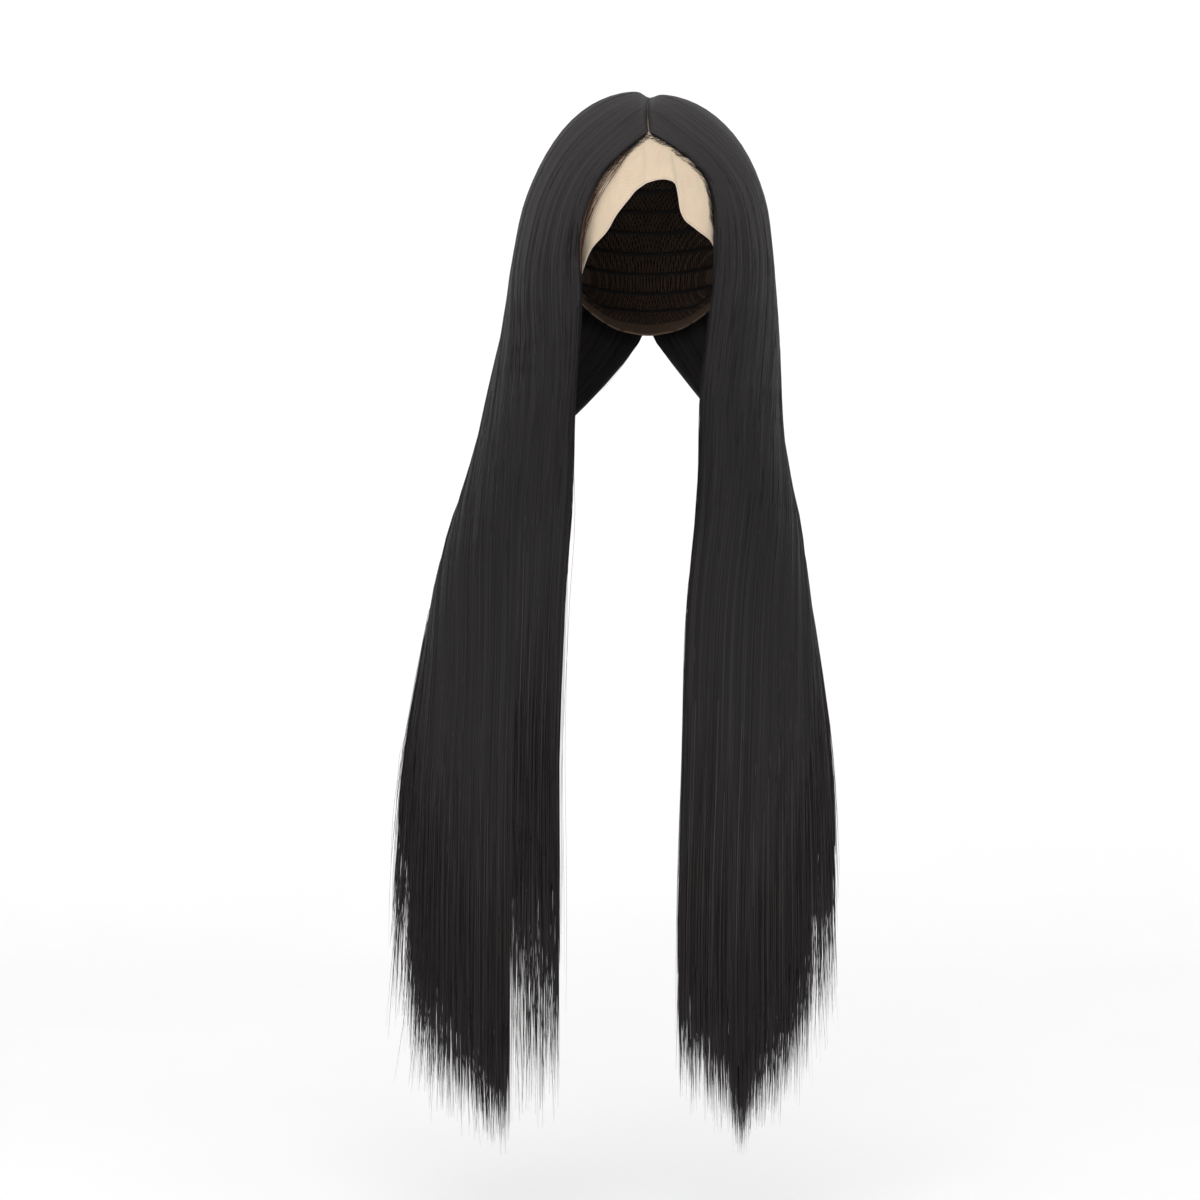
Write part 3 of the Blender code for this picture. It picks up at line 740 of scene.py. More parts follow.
def toned(tree, colour, painted_lightening):
    """A colour made lighter by a factor, which is painted light on the hair."""
    inputs = {0: colour, "Scale": painted_lightening}
    return add_node(tree, "ShaderNodeVectorMath", inputs, operation="SCALE").outputs[0]


def times(factor, colour):
    """A colour made lighter or darker by a factor."""
    return [factor * c for c in colour]


def set_looks(tree, shader, bump, **sockets):
    """Joins sockets to the shader, and a bump of a height, strength and distance."""
    for name, socket in sockets.items():
        tree.links.new(socket, shader.inputs[name.replace("_", " ")])
    if bump:
        inputs = dict(zip(("Height", "Strength", "Distance"), bump))
        tree.links.new(add_node(tree, "ShaderNodeBump", inputs).outputs[0], shader.inputs["Normal"])


def mass_material(settings):
    """Packed hair: fine streaks along it, in two sizes, as colour, gloss and bump, the colour made
    lighter along the hair by painted light.
    """
    material, tree, shader = new_material(
        "packed_hair", Specular_IOR_Level=settings.gloss, Anisotropic=0.6
    )
    uv = map_socket(tree)
    fine = stretched_noise(tree, uv, (620.0, 5.0, 1.0), 3.0)
    broad = stretched_noise(tree, uv, (230.0, 3.0, 1.0))
    both = worked_out(tree, "MULTIPLY_ADD", fine, 0.65, broad)
    # The lightest colour stands partly for lighter fibres and partly for painted sheen
    most, lightest = settings.fibre_colour, settings.streak_and_sheen_colour
    stops = ((0.50, times(0.6, most)), (0.84, most), (1.20, lightest))
    highest = stops[-1][0]
    stops = [(place / highest, colour) for place, colour in stops]
    ramp = add_ramp(tree, worked_out(tree, "DIVIDE", both, highest), *stops)
    tangent = add_node(tree, "ShaderNodeTangent", direction_type="UV_MAP", uv_map="fibre_map")
    set_looks(
        tree,
        shader,
        (fine, 0.6, 0.0006),
        Base_Color=toned(tree, ramp, tone_socket(tree)),
        Roughness=read_between(tree, fine, (0.0, 1.0), (0.34, 0.58)),
        Tangent=tangent.outputs[0],
    )
    return material


def strand_material(name, settings):
    """Single strands: each has its own tone, with a little change along it.

    The lightest have the streak colour, changed as STRAND_LOOKS says, and the colour is painted
    lighter along each strand as STRAND_LOOKS says, which is painted light. The loose strands before
    the lace instead take a brown that paints the light through them.
    """
    material, tree, shader = new_material(name, Specular_IOR_Level=settings.gloss, Roughness=0.40)
    lighter, (first, low), (last, high) = STRAND_LOOKS[name]
    tone, uv = tone_socket(tree), map_socket(tree)
    along = stretched_noise(tree, uv, (40.0, 9.0, 1.0))
    mixed = worked_out(tree, "MULTIPLY_ADD", along, 0.3, tone)
    light = times(lighter, settings.streak_and_sheen_colour)
    # The loose strands before the lace take a brown colour that paints the light shining through
    # them
    if name == "fringe_hair":
        light = settings.fringe_colour
    dark = times(0.5, settings.fibre_colour)
    ramp = add_ramp(tree, mixed, (0.10, dark), (0.62, settings.fibre_colour), (1.0, light))
    # Painted light: the strand's colour is made lighter along it as its row of STRAND_LOOKS says
    length = add_node(tree, "ShaderNodeSeparateXYZ", {0: uv}).outputs["Y"]
    painted_lightening = read_between(tree, length, (first, last), (low, high))
    set_looks(tree, shader, None, Base_Color=toned(tree, ramp, painted_lightening))
    return material


def crossed_threads(tree, place, pitch, bend, turns):
    """Threads a pitch apart in each direction of turns: the highest of their waves."""
    threads = None
    for turn in turns:
        inputs = {"Vector": place, "Rotation": (0.0, 0.0, math.radians(turn))}
        turned = add_node(tree, "ShaderNodeMapping", inputs).outputs[0]
        inputs = {"Vector": turned, "Scale": WAVE_LENGTH / pitch, "Distortion": bend}
        wave = add_node(tree, "ShaderNodeTexWave", inputs).outputs["Fac"]
        threads = wave if threads is None else worked_out(tree, "MAXIMUM", threads, wave)
    return threads


def lace_material(settings):
    """Fine lace: crossing threads a pitch apart, with small gaps that show what is behind, and
    painted shade on one flank of each fold.
    """
    material, tree, shader = new_material(
        "lace_threads", Roughness=0.75, Specular_IOR_Level=0.25, Sheen_Weight=0.15
    )
    place = map_socket(tree)
    threads = crossed_threads(tree, place, settings.lace_pitch, 0.3, (0.0, 60.0, 120.0))
    tint = stretched_noise(tree, place, (55.0, 55.0, 1.0))
    mixed = worked_out(tree, "MULTIPLY_ADD", threads, 0.5, tint)
    pale = [min(1.0, c) for c in times(1.06, settings.lace_colour)]
    colour = add_ramp(tree, mixed, (0.20, times(0.86, settings.lace_colour)), (1.0, pale))
    # Painted shade: the lace is darkened towards a darker olive grey by the shade stored in its tone
    inputs = {"Factor": tone_socket(tree), 6: colour, 7: (*settings.fold_shade_colour, 1.0)}
    fold_shaded = add_node(tree, "ShaderNodeMix", inputs, data_type="RGBA").outputs[2]
    cover = read_between(tree, threads, (0.55, 0.85), (settings.lace_cover, 1.0))
    set_looks(tree, shader, (threads, 0.25, 0.0002), Base_Color=fold_shaded, Alpha=cover)
    return material


def net_material(settings):
    """Open net: diamonds of thread with holes through which the hair's inside shows."""
    material, tree, shader = new_material("net_threads", Roughness=0.85, Specular_IOR_Level=0.2)
    place = map_socket(tree)
    threads = crossed_threads(tree, place, settings.net_pitch, 0.2, (45.0, 135.0))
    tint = stretched_noise(tree, place, (160.0, 160.0, 1.0))
    deep = times(0.6, settings.net_colour)
    colour = add_ramp(tree, tint, (0.3, deep), (0.75, settings.net_colour))
    cover = read_between(tree, threads, (0.72, 0.86), (0.15, 1.0))
    set_looks(tree, shader, (threads, 0.4, 0.0004), Base_Color=colour, Alpha=cover)
    return material


def band_material(settings):
    """Woven elastic: short stitches in rows, with a darker thread between the ribs."""
    material, tree, shader = new_material("woven_elastic", Roughness=0.8, Specular_IOR_Level=0.25)
    inputs = {"Vector": map_socket(tree), "Scale": 1.0}
    for socket, factor in (("Color1", 1.0), ("Color2", 0.8), ("Mortar", 0.35)):
        inputs[socket] = (*times(factor, settings.band_colour), 1.0)
    inputs.update({"Brick Width": 0.0016, "Row Height": 0.0008})
    inputs.update({"Mortar Size": 0.00012, "Mortar Smooth": 0.6})
    weave = add_node(tree, "ShaderNodeTexBrick", inputs).outputs
    set_looks(tree, shader, (weave["Fac"], 0.5, -0.0003), Base_Color=weave["Color"])
    return material


def thread_material(name, colour):
    """Sewing thread: a fine twist along each thread."""
    material, tree, shader = new_material(name, Roughness=0.7, Specular_IOR_Level=0.3)
    place = add_node(tree, "ShaderNodeTexCoord").outputs["Object"]
    twist = stretched_noise(tree, place, (900.0, 900.0, 900.0))
    ramp = add_ramp(tree, twist, (0.35, times(0.75, colour)), (0.65, colour))
    set_looks(tree, shader, None, Base_Color=ramp)
    return material


def shared_material(name, maker, *arguments):
    """The material of that name, made the first time it is asked for."""
    return bpy.data.materials.get(name) or maker(*arguments)


def strand_look(name, settings):
    """The strands' material of that name."""
    return shared_material(name, strand_material, name, settings)


def rounded_below(inward, distances, top):
    """How full the wall is beside an edge of a fall: rounded below a distance, full above."""
    rounded = np.sqrt(np.clip(1 - (1 - np.minimum(inward / 0.030, 1)) ** 2, 0.02, 1))
    return np.maximum(rounded, 1 - smooth_step((distances - top) / 0.05))


def make_mass(which, number, settings):
    """One bundle's packed hair: a closed wall from its roots to just above its thin ends.

    The outside is the hair's outer skin with its relief, the inside its inner skin. The
    borders with the next bundles dip, and lean so that no light passes between them.
    """
    low, high = number / len(BUNDLES), (number + 1) / len(BUNDLES)
    even = np.linspace(0, 1, MASS_COLUMNS)
    shares = np.linspace(low, high, MASS_COLUMNS)
    border = np.minimum((shares - low) / (high - low), (high - shares) / (high - low))
    first, last = number == 0, number == len(BUNDLES) - 1
    if first:
        shares = low + (high - low) * even**1.5
    if last:
        shares = high - (high - low) * (1 - even) ** 1.3
    shares = np.clip(shares, low + 0.0005 * (not first), high - 0.0005 * (not last))
    thin = end_heights(which, shares)[0]
    rng = draws(100, which, number)
    last_distance = distance_at(thin) - rng.uniform(0.020, 0.045, MASS_COLUMNS)
    upper = np.concatenate([np.arange(*row) for row in MASS_ROWS])
    lower = np.linspace(0, 1, 12)[:, None]
    lower = LAST_ROWS_FROM + lower * (last_distance[None, :] - LAST_ROWS_FROM)
    upper = np.broadcast_to(upper[:, None], (len(upper), MASS_COLUMNS))
    distances = np.concatenate([upper, lower])
    wide = np.broadcast_to(shares[None, :], distances.shape)
    outer, normal, inner = read_grid(which, distances, wide)
    lean = 0.004 * (1 - 2 * first * (wide < low + 0.02)) * (wide < 0.97)
    inner = read_grid(which, distances, wide + lean * smooth_step((distances - 0.14) / 0.05))[2]
    dip = 0.0010 * (1 - smooth_step(border / 0.05)) * smooth_step(distances / 0.03)
    edge_in = 1.0
    if first:
        dip = dip * (wide > low + 0.1)
        edge_in = rounded_below(wide, distances, 0.10)
    if last:
        dip = dip * (wide < high - 0.1)
        edge_in = rounded_below(1 - wide, distances, 0.20)
    height = relief(which, distances, wide) - 0.0004 - dip
    outer = outer + normal * height[..., None]
    end = smooth_step((last_distance[None, :] - distances) / 0.11)
    full = (0.12 + 0.88 * end) * edge_in
    kept = (0.5 + 0.4 * (1 - end))[..., None]
    middle = outer * kept + inner * (1 - kept)
    outer, inner = (middle + (skin - middle) * full[..., None] for skin in (outer, inner))
    uv = np.stack([wide, distances], axis=-1)
    # Painted light: the hair's colour is made lighter over the crown near the parting and towards
    # its self-shadowed ends
    tone = np.interp(distances, *np.array(PAINTED_LIGHT_ALONG).T)
    name = f"{BUNDLES[number]}_{which}"
    material = shared_material("packed_hair", mass_material, settings)
    side = HAIR[which]["side"]
    piece = closed_wall(f"{name}_mass", outer, inner, side, material, uv, tone)
    return finished(piece, "hair", name)


def strand_paths(which, rng, start, stop, shares, lifts, steps, warp):
    """Paths of strands that follow the hair from one distance to another.

    The share of each strand sways by a slow sine and gathers into its lock, and its lift
    off the relief is blended between its values at the root, middle and end.
    """
    place, distances = run_along(start, stop, steps, warp)
    phase = rng.uniform(0, 2 * math.pi, (len(start), 1))
    swing = np.sin(phase + distances * rng.uniform(6, 16, phase.shape))
    wide = shares[:, None] + STRAND_SWAY * swing
    wide = np.maximum(gathered(which, distances, wide), 0.0)
    outer, normal, _ = read_grid(which, distances, wide)
    root, middle, end = lifts
    high = root[:, None] * (1 - place) ** 3 + middle[:, None] * 3 * place * (1 - place)
    high = high + end[:, None] * place**3 + relief(which, distances, wide)
    return outer + normal * high[..., None], normal


def strand_tones(rng, count, lighter_share=0.05, spread=0.13):
    """Mostly even strands, a share of them lighter."""
    lighter = 0.30 * (rng.uniform(0, 1, count) < lighter_share)
    return np.clip(rng.normal(0.48, spread, count) + lighter, 0.0, 1.0)


def make_crown_strands(which, number, settings):
    """Strands that leave the parting, lie over the head and sink into the hair below."""
    rng = draws(200, which, number)
    count = settings.crown_strands
    shares = (number + rng.uniform(0, 1, count)) / len(BUNDLES)
    start = rng.uniform(0.0, 0.006, count) + 0.10 * (rng.uniform(0, 1, count) > 0.75)
    stop = rng.uniform(0.16, 0.42, count)
    ends = ((0.0000, 0.0002), (0.0001, 0.0006), (-0.0008, 0.0))
    lifts = [rng.uniform(*pair, count) for pair in ends]
    paths, normals = strand_paths(which, rng, start, stop, shares, lifts, 18, 1.6)
    width = settings.strand_width * rng.uniform(0.5, 0.9, count)
    # More light strands over the crown than down the falls, and more on the left than the right:
    # painted highlight where the light falls on the crown
    tones = strand_tones(rng, count, 0.25 if which == "left" else 0.15, 0.20)
    name = f"{BUNDLES[number]}_{which}_crown_strands"
    look = strand_look("crown_strands", settings)
    return make_strands(name, paths, normals, width, look, tones)


def fall_stops(rng, which, shares):
    """Where strands down a fall end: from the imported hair's last part into the thin ends."""
    thin, last = end_heights(which, shares)[:2]
    return distance_at(thin + (last - thin) * rng.uniform(-0.6, 0.2, len(shares)))


def make_fall_strands(which, number, settings):
    """Strands that come out of the hair beside the head and fall to its ends."""
    rng = draws(300, which, number)
    count = settings.fall_strands
    shares = (number + rng.uniform(0, 1, count)) / len(BUNDLES)
    start = rng.uniform(0.08, 0.40, count)
    stop = fall_stops(rng, which, shares)
    ends = ((-0.0006, 0.0), (0.0001, 0.0007), (-0.0030, 0.0010))
    lifts = [rng.uniform(*pair, count) for pair in ends]
    paths, normals = strand_paths(which, rng, start, stop, shares, lifts, 13, 1.5)
    width = settings.strand_width * rng.uniform(0.6, 1.1, count)
    tones = strand_tones(rng, count)
    name = f"{BUNDLES[number]}_{which}_fall_strands"
    return make_strands(name, paths, normals, width, strand_look("fall_strands", settings), tones)


def make_inner_strands(which, settings):
    """Strands on the inside of a fall, seen from behind and from below."""
    rng = draws(400, which)
    count = settings.inner_strands
    shares = rng.uniform(0.01, 0.99, count)
    start = rng.uniform(0.20, 0.45, count)
    _, distances = run_along(start, fall_stops(rng, which, shares), 12)
    wide = gathered(which, distances, shares[:, None] * np.ones_like(distances))
    _, normal, inner = read_grid(which, distances, wide)
    lift = -0.0002 - rng.uniform(0, 0.0005, (count, 1))
    paths = inner + normal * lift[..., None]
    width = settings.strand_width * rng.uniform(0.7, 1.2, count)
    tones = strand_tones(rng, count)
    look = strand_look("fall_strands", settings)
    return make_strands(f"{which}_inner_strands", paths, -normal, width, look, tones)


def make_tip_wisps(which, number, settings):
    """Thin strands through the whole depth of the ends, thinning out to the last tips."""
    rng = draws(500, which, number)
    count = settings.tip_wisps
    shares = (number + rng.uniform(0, 1, count)) / len(BUNDLES)
    shares = shares[rng.uniform(0, 1, count) < end_heights(which, shares)[4]]
    count = len(shares)
    thin, last, drift, soon, _ = end_heights(which, shares)
    stop = distance_at(last + (thin - last) * rng.uniform(0, 1, count) ** (1 / soon))
    start = distance_at(thin) - rng.uniform(0.06, 0.13, count)
    place, distances = run_along(start, stop, 6)
    wide = gathered(which, distances, shares[:, None] * np.ones_like(distances))
    stray = drift[:, None] * rng.uniform(0, 2, (count, 1)) + rng.normal(0, 0.005, (count, 1))
    reach = (stop - start)[:, None] * place / 0.15
    outer, normal, inner = read_grid(which, distances, wide + stray * reach**2)
    depth = rng.uniform(0.02, 0.98, count)[:, None, None]
    bend = rng.normal(0, 0.0022, (count, 1)) * reach**2
    paths = outer + (inner - outer) * depth + normal * bend[..., None]
    width = settings.wisp_width * np.exp(rng.normal(0, 0.35, count))
    tones = strand_tones(rng, count)
    name = f"{BUNDLES[number]}_{which}_tips"
    look = strand_look("tip_strands", settings)
    return make_strands(name, paths, normal, width, look, tones, 0.8)


def beside_edge(which, distances, offset):
    """Places beside the hair's face edge, an offset towards the face, and what is outward there.

    The way across is the cross product of outward with the edge's own direction.
    """
    at_edge = np.zeros_like(distances)
    edge = read_grid(which, distances, at_edge)[0]
    after = read_grid(which, distances + 0.002, at_edge)[0]
    before = read_grid(which, np.maximum(distances - 0.002, 0.0), at_edge)[0]
    outward = (edge - HEAD_CENTRE) / HEAD_HALF_SIZES**2
    outward[..., 2] *= 1.0 - smooth_step((distances - 0.10) / 0.05)
    outward = unit(outward)
    across = -HAIR[which]["side"] * np.cross(outward, unit(after - before))
    return edge + across * offset[..., None], outward


def make_baby_hairs(which, settings):
    """Short fine hairs tied into the lace before the hairline, which join the hair beside."""
    rng = draws(600, which)
    count = settings.baby_hairs
    start = rng.uniform(0.003, 0.130, count)
    place, distances = run_along(start, start + rng.uniform(0.007, 0.024, count), 7)
    root = 0.0002 + 0.0048 * rng.uniform(0, 1, (count, 1)) ** 3.0
    off, outward = beside_edge(which, distances, root * np.ones_like(distances))
    arch = 0.0010 * np.sin(math.pi * place) * rng.uniform(0.2, 1.0, (count, 1))
    on_lace = moved_to_lift(off, LACE_LIFT + 0.0004, 1.0) + outward * arch[..., None]
    wide = rng.uniform(0.008, 0.05, (count, 1)) * np.ones_like(distances)
    outer, normal, _ = read_grid(which, distances, wide)
    joined = smooth_step(place**1.8)[..., None]
    paths = on_lace * (1 - joined) + (outer + normal * 0.0003) * joined
    width = settings.baby_width * rng.uniform(0.6, 1.0, count)
    tones = rng.uniform(0.1, 0.6, count)
    look = strand_look("fine_hair", settings)
    piece = make_strands(f"{which}_baby_hairs", paths, outward, width, look, tones, 0.9)
    return piece, paths[:, 0]


def make_knots(which, places, settings):
    """The knots that tie hairs to the lace: a small double pyramid at each place."""
    size = KNOT_SIZE * draws(650, which).uniform(0.7, 1.3, len(places))
    corner = np.array([(1, 0, 0), (0, 1, 0), (-1, 0, 0), (0, -1, 0), (0, 0, 1), (0, 0, -1)])
    lifted = moved_to_lift(places, LACE_LIFT + 0.0002, np.ones(len(places)))
    points = (lifted[:, None] + size[:, None, None] * corner).reshape(-1, 3)
    ring = np.array([(0, 1), (1, 2), (2, 3), (3, 0)])
    upper = np.concatenate([ring, np.full((4, 1), 4)], axis=1)
    lower = np.concatenate([ring[:, ::-1], np.full((4, 1), 5)], axis=1)
    faces = np.concatenate([upper, lower])[None] + 6 * np.arange(len(places))[:, None, None]
    faces = faces.reshape(-1, 3)
    uv, tone = np.zeros((faces.size, 2)), np.full(len(points), 0.4)
    look = strand_look("fine_hair", settings)
    return finished(make_mesh(f"{which}_knots", points, NO_QUADS, faces, look, uv, tone), "hair")


def make_loose_fringe(settings):
    """The loose strands that hang before the lace on the left, bowed towards the face."""
    rng = draws(700, "left")
    count = settings.fringe_strands
    start, stop = rng.uniform(0.035, 0.06, count), rng.uniform(0.15, 0.19, count)
    place, distances = run_along(start, stop, 20)
    reach = 0.0015 + 0.0100 * (np.arange(count)[:, None] + rng.uniform(0, 1, (count, 1))) / count
    off, normal = beside_edge("left", distances, reach * np.sin(math.pi * place**0.8))
    high = 0.0003 + 0.0010 * np.sin(math.pi * place) * rng.uniform(0.3, 1.0, (count, 1))
    paths = off + normal * high[..., None]
    width = settings.fringe_width * rng.uniform(0.6, 1.1, count)
    tones = rng.uniform(0.6, 0.9, count)
    look = strand_look("fringe_hair", settings)
    return make_strands("left_loose_fringe", paths, normal, width, look, tones, 0.9, 0.3)


def make_edge_strands(name, which, share, count, reach, places, settings):
    """Single strands that hang free beside an edge of a fall, over a stretch of it."""
    rng = np.random.default_rng(750 + len(name))
    start, stop = (rng.uniform(*ends, count) for ends in places)
    place, distances = run_along(start, stop, 14)
    outer, normal, inner = read_grid(which, distances, np.full_like(distances, share))
    reach = reach * (np.arange(count)[:, None] + rng.uniform(0.4, 0.9, (count, 1))) / count
    away = reach * smooth_step(place / 0.35)
    away = away * (1 + 0.25 * np.sin(place * 5 + rng.uniform(0, 6, (count, 1))))
    paths = (outer + inner) / 2
    paths[..., 0] += HAIR[which]["side"] * away
    width = settings.baby_width * rng.uniform(0.8, 1.2, count)
    tones = rng.uniform(0.1, 0.6, count)
    look = strand_look("fine_hair", settings)
    return make_strands(name, paths, normal, width, look, tones, 0.9, 0.3)


def make_flyaways(which, settings):
    """Stray hairs that stand a little off the rest, bowed away and back."""
    rng = draws(800, which)
    count = settings.flyaways
    shares = rng.uniform(0.04, 1.0, count)
    start = rng.uniform(0.02, 0.62, count)
    place, distances = run_along(start, start + rng.uniform(0.05, 0.16, count), 10)
    wide = shares[:, None] + rng.normal(0, 0.012, (count, 1)) * place
    outer, normal, _ = read_grid(which, distances, wide)
    farthest = rng.gamma(1.6, 0.0009, (count, 1))
    bow = farthest * np.sin(math.pi * place * rng.uniform(0.5, 1, (count, 1)))
    paths = outer + normal * (bow + 0.0003)[..., None]
    width = settings.baby_width * rng.uniform(0.7, 1.1, count)
    tones = rng.uniform(0.1, 0.7, count)
    look = strand_look("fine_hair", settings)
    return make_strands(f"{which}_stray_hairs", paths, normal, width, look, tones, 0.5, 0.2)


def make_crossing_strands(which, settings):
    """Strands from one side that cross the middle of the crown and of the back."""
    rng = draws(850, which)
    count = settings.crossing_strands
    start, stop = rng.uniform(0.0, 0.10, count), rng.uniform(0.14, 0.24, count)
    place, distances = run_along(start, stop, 14)
    first, then = rng.uniform(0.94, 1.05, (count, 1)), rng.uniform(0.90, 1.0, (count, 1))
    wide = first + (then - first) * smooth_step(place)
    outer, normal, _ = read_grid(which, distances, wide)
    high = 0.0003 + rng.uniform(0, 0.0012, (count, 1)) * np.sin(math.pi * place)
    paths = outer + normal * high[..., None]
    width = settings.strand_width * rng.uniform(0.6, 1.0, count)
    tones = strand_tones(rng, count)
    look = strand_look("crown_strands", settings)
    return make_strands(f"{which}_crossing_strands", paths, normal, width, look, tones)


def seam_points(count):
    """The ear-to-ear seam, in a plane across the head a little in front of the crown."""
    roll = np.radians(np.linspace(-SEAM_END_ROLL, SEAM_END_ROLL, count))
    forward = SEAM_FORWARD / HEAD_HALF_SIZES[1]
    reach = math.sqrt(1 - forward**2)
    places = [reach * np.sin(roll), np.full_like(roll, -forward), reach * np.cos(roll)]
    return np.stack(places, axis=-1)


def directions_between(start, end, shares):
    """Directions from the head's centre, turned evenly from start to end, a row a share."""
    turn = np.arccos(np.clip((start * end).sum(axis=-1), -1, 1))[None, ..., None]
    shares = np.asarray(shares)[:, None, None]
    return (np.sin((1 - shares) * turn) * start + np.sin(shares * turn) * end) / np.sin(turn)


def lace_edge_directions(count):
    """Directions of the uncut edge: the table's rows joined by lines with softened corners."""
    rows = np.array(LACE_EDGE)
    place = np.linspace(0, len(rows) - 1, count)
    azimuth = np.interp(place, np.arange(len(rows)), rows[:, 0])
    height = np.interp(place, np.arange(len(rows)), rows[:, 1])
    weights = np.hanning(11)[1:-1] / np.hanning(11).sum()
    azimuth[4:-4] = np.convolve(azimuth, weights, "valid")
    height[4:-4] = np.convolve(height, weights, "valid")
    height = height + 0.0002 * np.sin(place * 2.3) + 0.0001 * np.sin(place * 5.0)
    return head_direction(head_point(azimuth, polar_at_height(height), 0.0))


def fold_height(azimuth, polar):
    """The lace's soft folds: bell-shaped ridges down the forehead, each leaning a little."""
    total = 0.00006 * np.sin(azimuth * 0.9) * np.sin(polar * 0.35)
    for middle, lean, width, height in LACE_FOLDS:
        off = (azimuth - middle - lean * (polar - 58.0)) / width
        total = total + height * np.exp(-off * off) * smooth_step((polar - 50.0) / 14.0)
    return total * smooth_step((60.0 - np.abs(azimuth)) / 20.0)


def length_map(points):
    """A map in metres: the length across from the middle column, and down from the top row."""
    across = np.linalg.norm(np.diff(points, axis=1), axis=-1)
    across = np.concatenate([np.zeros_like(across[:, :1]), np.cumsum(across, axis=1)], axis=1)
    across = across - across[:, across.shape[1] // 2][:, None]
    down = np.linalg.norm(np.diff(points, axis=0), axis=-1)
    down = np.concatenate([np.zeros_like(down[:1]), np.cumsum(down, axis=0)], axis=0)
    return np.stack([across, down], axis=-1)


def make_lace_sheet(settings):
    """The lace panel: directions turned from the seam to the uncut edge, with soft folds."""
    place = np.linspace(0, 1, LACE_ROWS) ** 0.85
    seam, edge = seam_points(LACE_COLUMNS), lace_edge_directions(LACE_COLUMNS)
    direction = directions_between(seam, edge, place)
    azimuth = np.degrees(np.arctan2(direction[..., 0], -direction[..., 1]))
    polar = np.degrees(np.arccos(np.clip(direction[..., 2], -1, 1)))
    fold = fold_height(azimuth, polar)[..., None]
    after = fold_height(azimuth + FOLD_FLANK_TURN, polar)
    flank = after - fold_height(azimuth - FOLD_FLANK_TURN, polar)
    # Painted shade: the flank of each fold that faces one way is darkened, as if lit from one side
    shade = np.clip(flank / FOLD_FLANK_DROP, 0, DEEPEST_SHADE)
    outer = off_head(direction, LACE_LIFT + fold)
    inner = off_head(direction, LACE_LIFT - settings.lace_wall + fold)
    material = shared_material("lace_threads", lace_material, settings)
    piece = closed_wall("lace_sheet", outer, inner, 1, material, length_map(outer), shade)
    finished(piece, "lace", "lace_front")
    down = np.linalg.norm(np.diff(outer, axis=0), axis=-1)
    across = np.linalg.norm(np.diff(outer, axis=1), axis=-1)
    area = float((down[:, 1:] * across[1:]).sum())
    return piece, outer, area


def make_edge_thread(outer, settings):
    """The lace's cut edge: a fine closed thread along its lowest row."""
    path = outer[-1][None]
    normal = head_normal(path)
    path = path - normal * settings.lace_wall / 2
    radii = np.full(path.shape[:2], EDGE_THREAD_RADIUS)
    material = shared_material("edge_thread", thread_material, "edge_thread", settings.edge_colour)
    piece = make_tubes("lace_edge_thread", path, normal, radii, material, [0.5], sides=4)
    return finished(piece, "lace")


def net_edge_height(azimuth):
    """How far down the net reaches behind the ears, the table's corners softened."""
    turned = np.abs((azimuth + 180.0) % 360.0 - 180.0)
    rows = np.array(NET_EDGE)
    near = turned[..., None] + np.linspace(-9.0, 9.0, 13)
    near = 180.0 - np.abs(180.0 - np.abs(near))
    return np.interp(near, rows[:, 0], rows[:, 1]).mean(axis=-1)


def hem_azimuths(count):
    """Even azimuths from one end of the seam round the back to the other."""
    return np.linspace(SEAM_END_AZIMUTH + 0.6, 359.4 - SEAM_END_AZIMUTH, count)


def net_map(direction):
    """A map in metres over the net, opened out away from the crown."""
    return direction[..., :2] * NET_MAP_SIZE * (1 + 0.5 * (1 - direction[..., 2:]))


def make_net_sheet(settings):
    """The net behind the lace: rings turned from a point near the crown out to its edge."""
    azimuth = hem_azimuths(NET_COLUMNS)
    hem = head_direction(head_point(azimuth, polar_at_height(net_edge_height(azimuth)), 0.0))
    edge = np.concatenate([unit(seam_points(NET_COLUMNS) + [0.0, 0.004, 0.0]), hem])
    hub = head_direction(head_point(180.0, 12.0, 0.0))
    shares = np.linspace(0, 1, NET_RINGS)[1:]
    direction = directions_between(np.broadcast_to(hub, edge.shape), edge, shares)
    rows, count = direction.shape[:2]
    number = np.arange(2 * rows * count).reshape(2, rows, count)
    top, bottom = np.concatenate([number, number[..., :1]], axis=2)
    quads = [grid_quads(top), grid_quads(bottom)[:, ::-1], rim_quads(bottom[-1], top[-1])]
    quads = np.concatenate(quads)
    hubs = number.size + np.arange(2)
    fan = np.stack([np.full(count, hubs[0]), top[0, :-1], top[0, 1:]], axis=-1)
    back = np.stack([np.full(count, hubs[1]), bottom[0, 1:], bottom[0, :-1]], axis=-1)
    triangles = np.concatenate([fan, back])
    skins = [off_head(direction, lift).reshape(-1, 3) for lift in NET_SKINS]
    points = np.concatenate([*skins, off_head(hub, np.array(NET_SKINS)[:, None])])
    uv = net_map(direction).reshape(-1, 2)
    places = np.concatenate([uv, uv, *[net_map(hub[None])] * 2])
    loops = np.concatenate([quads.ravel(), triangles.ravel()])
    material = shared_material("net_threads", net_material, settings)
    piece = make_mesh("net_sheet", points, quads, triangles, material, uv=places[loops])
    return finished(piece, "net", "net_crown")


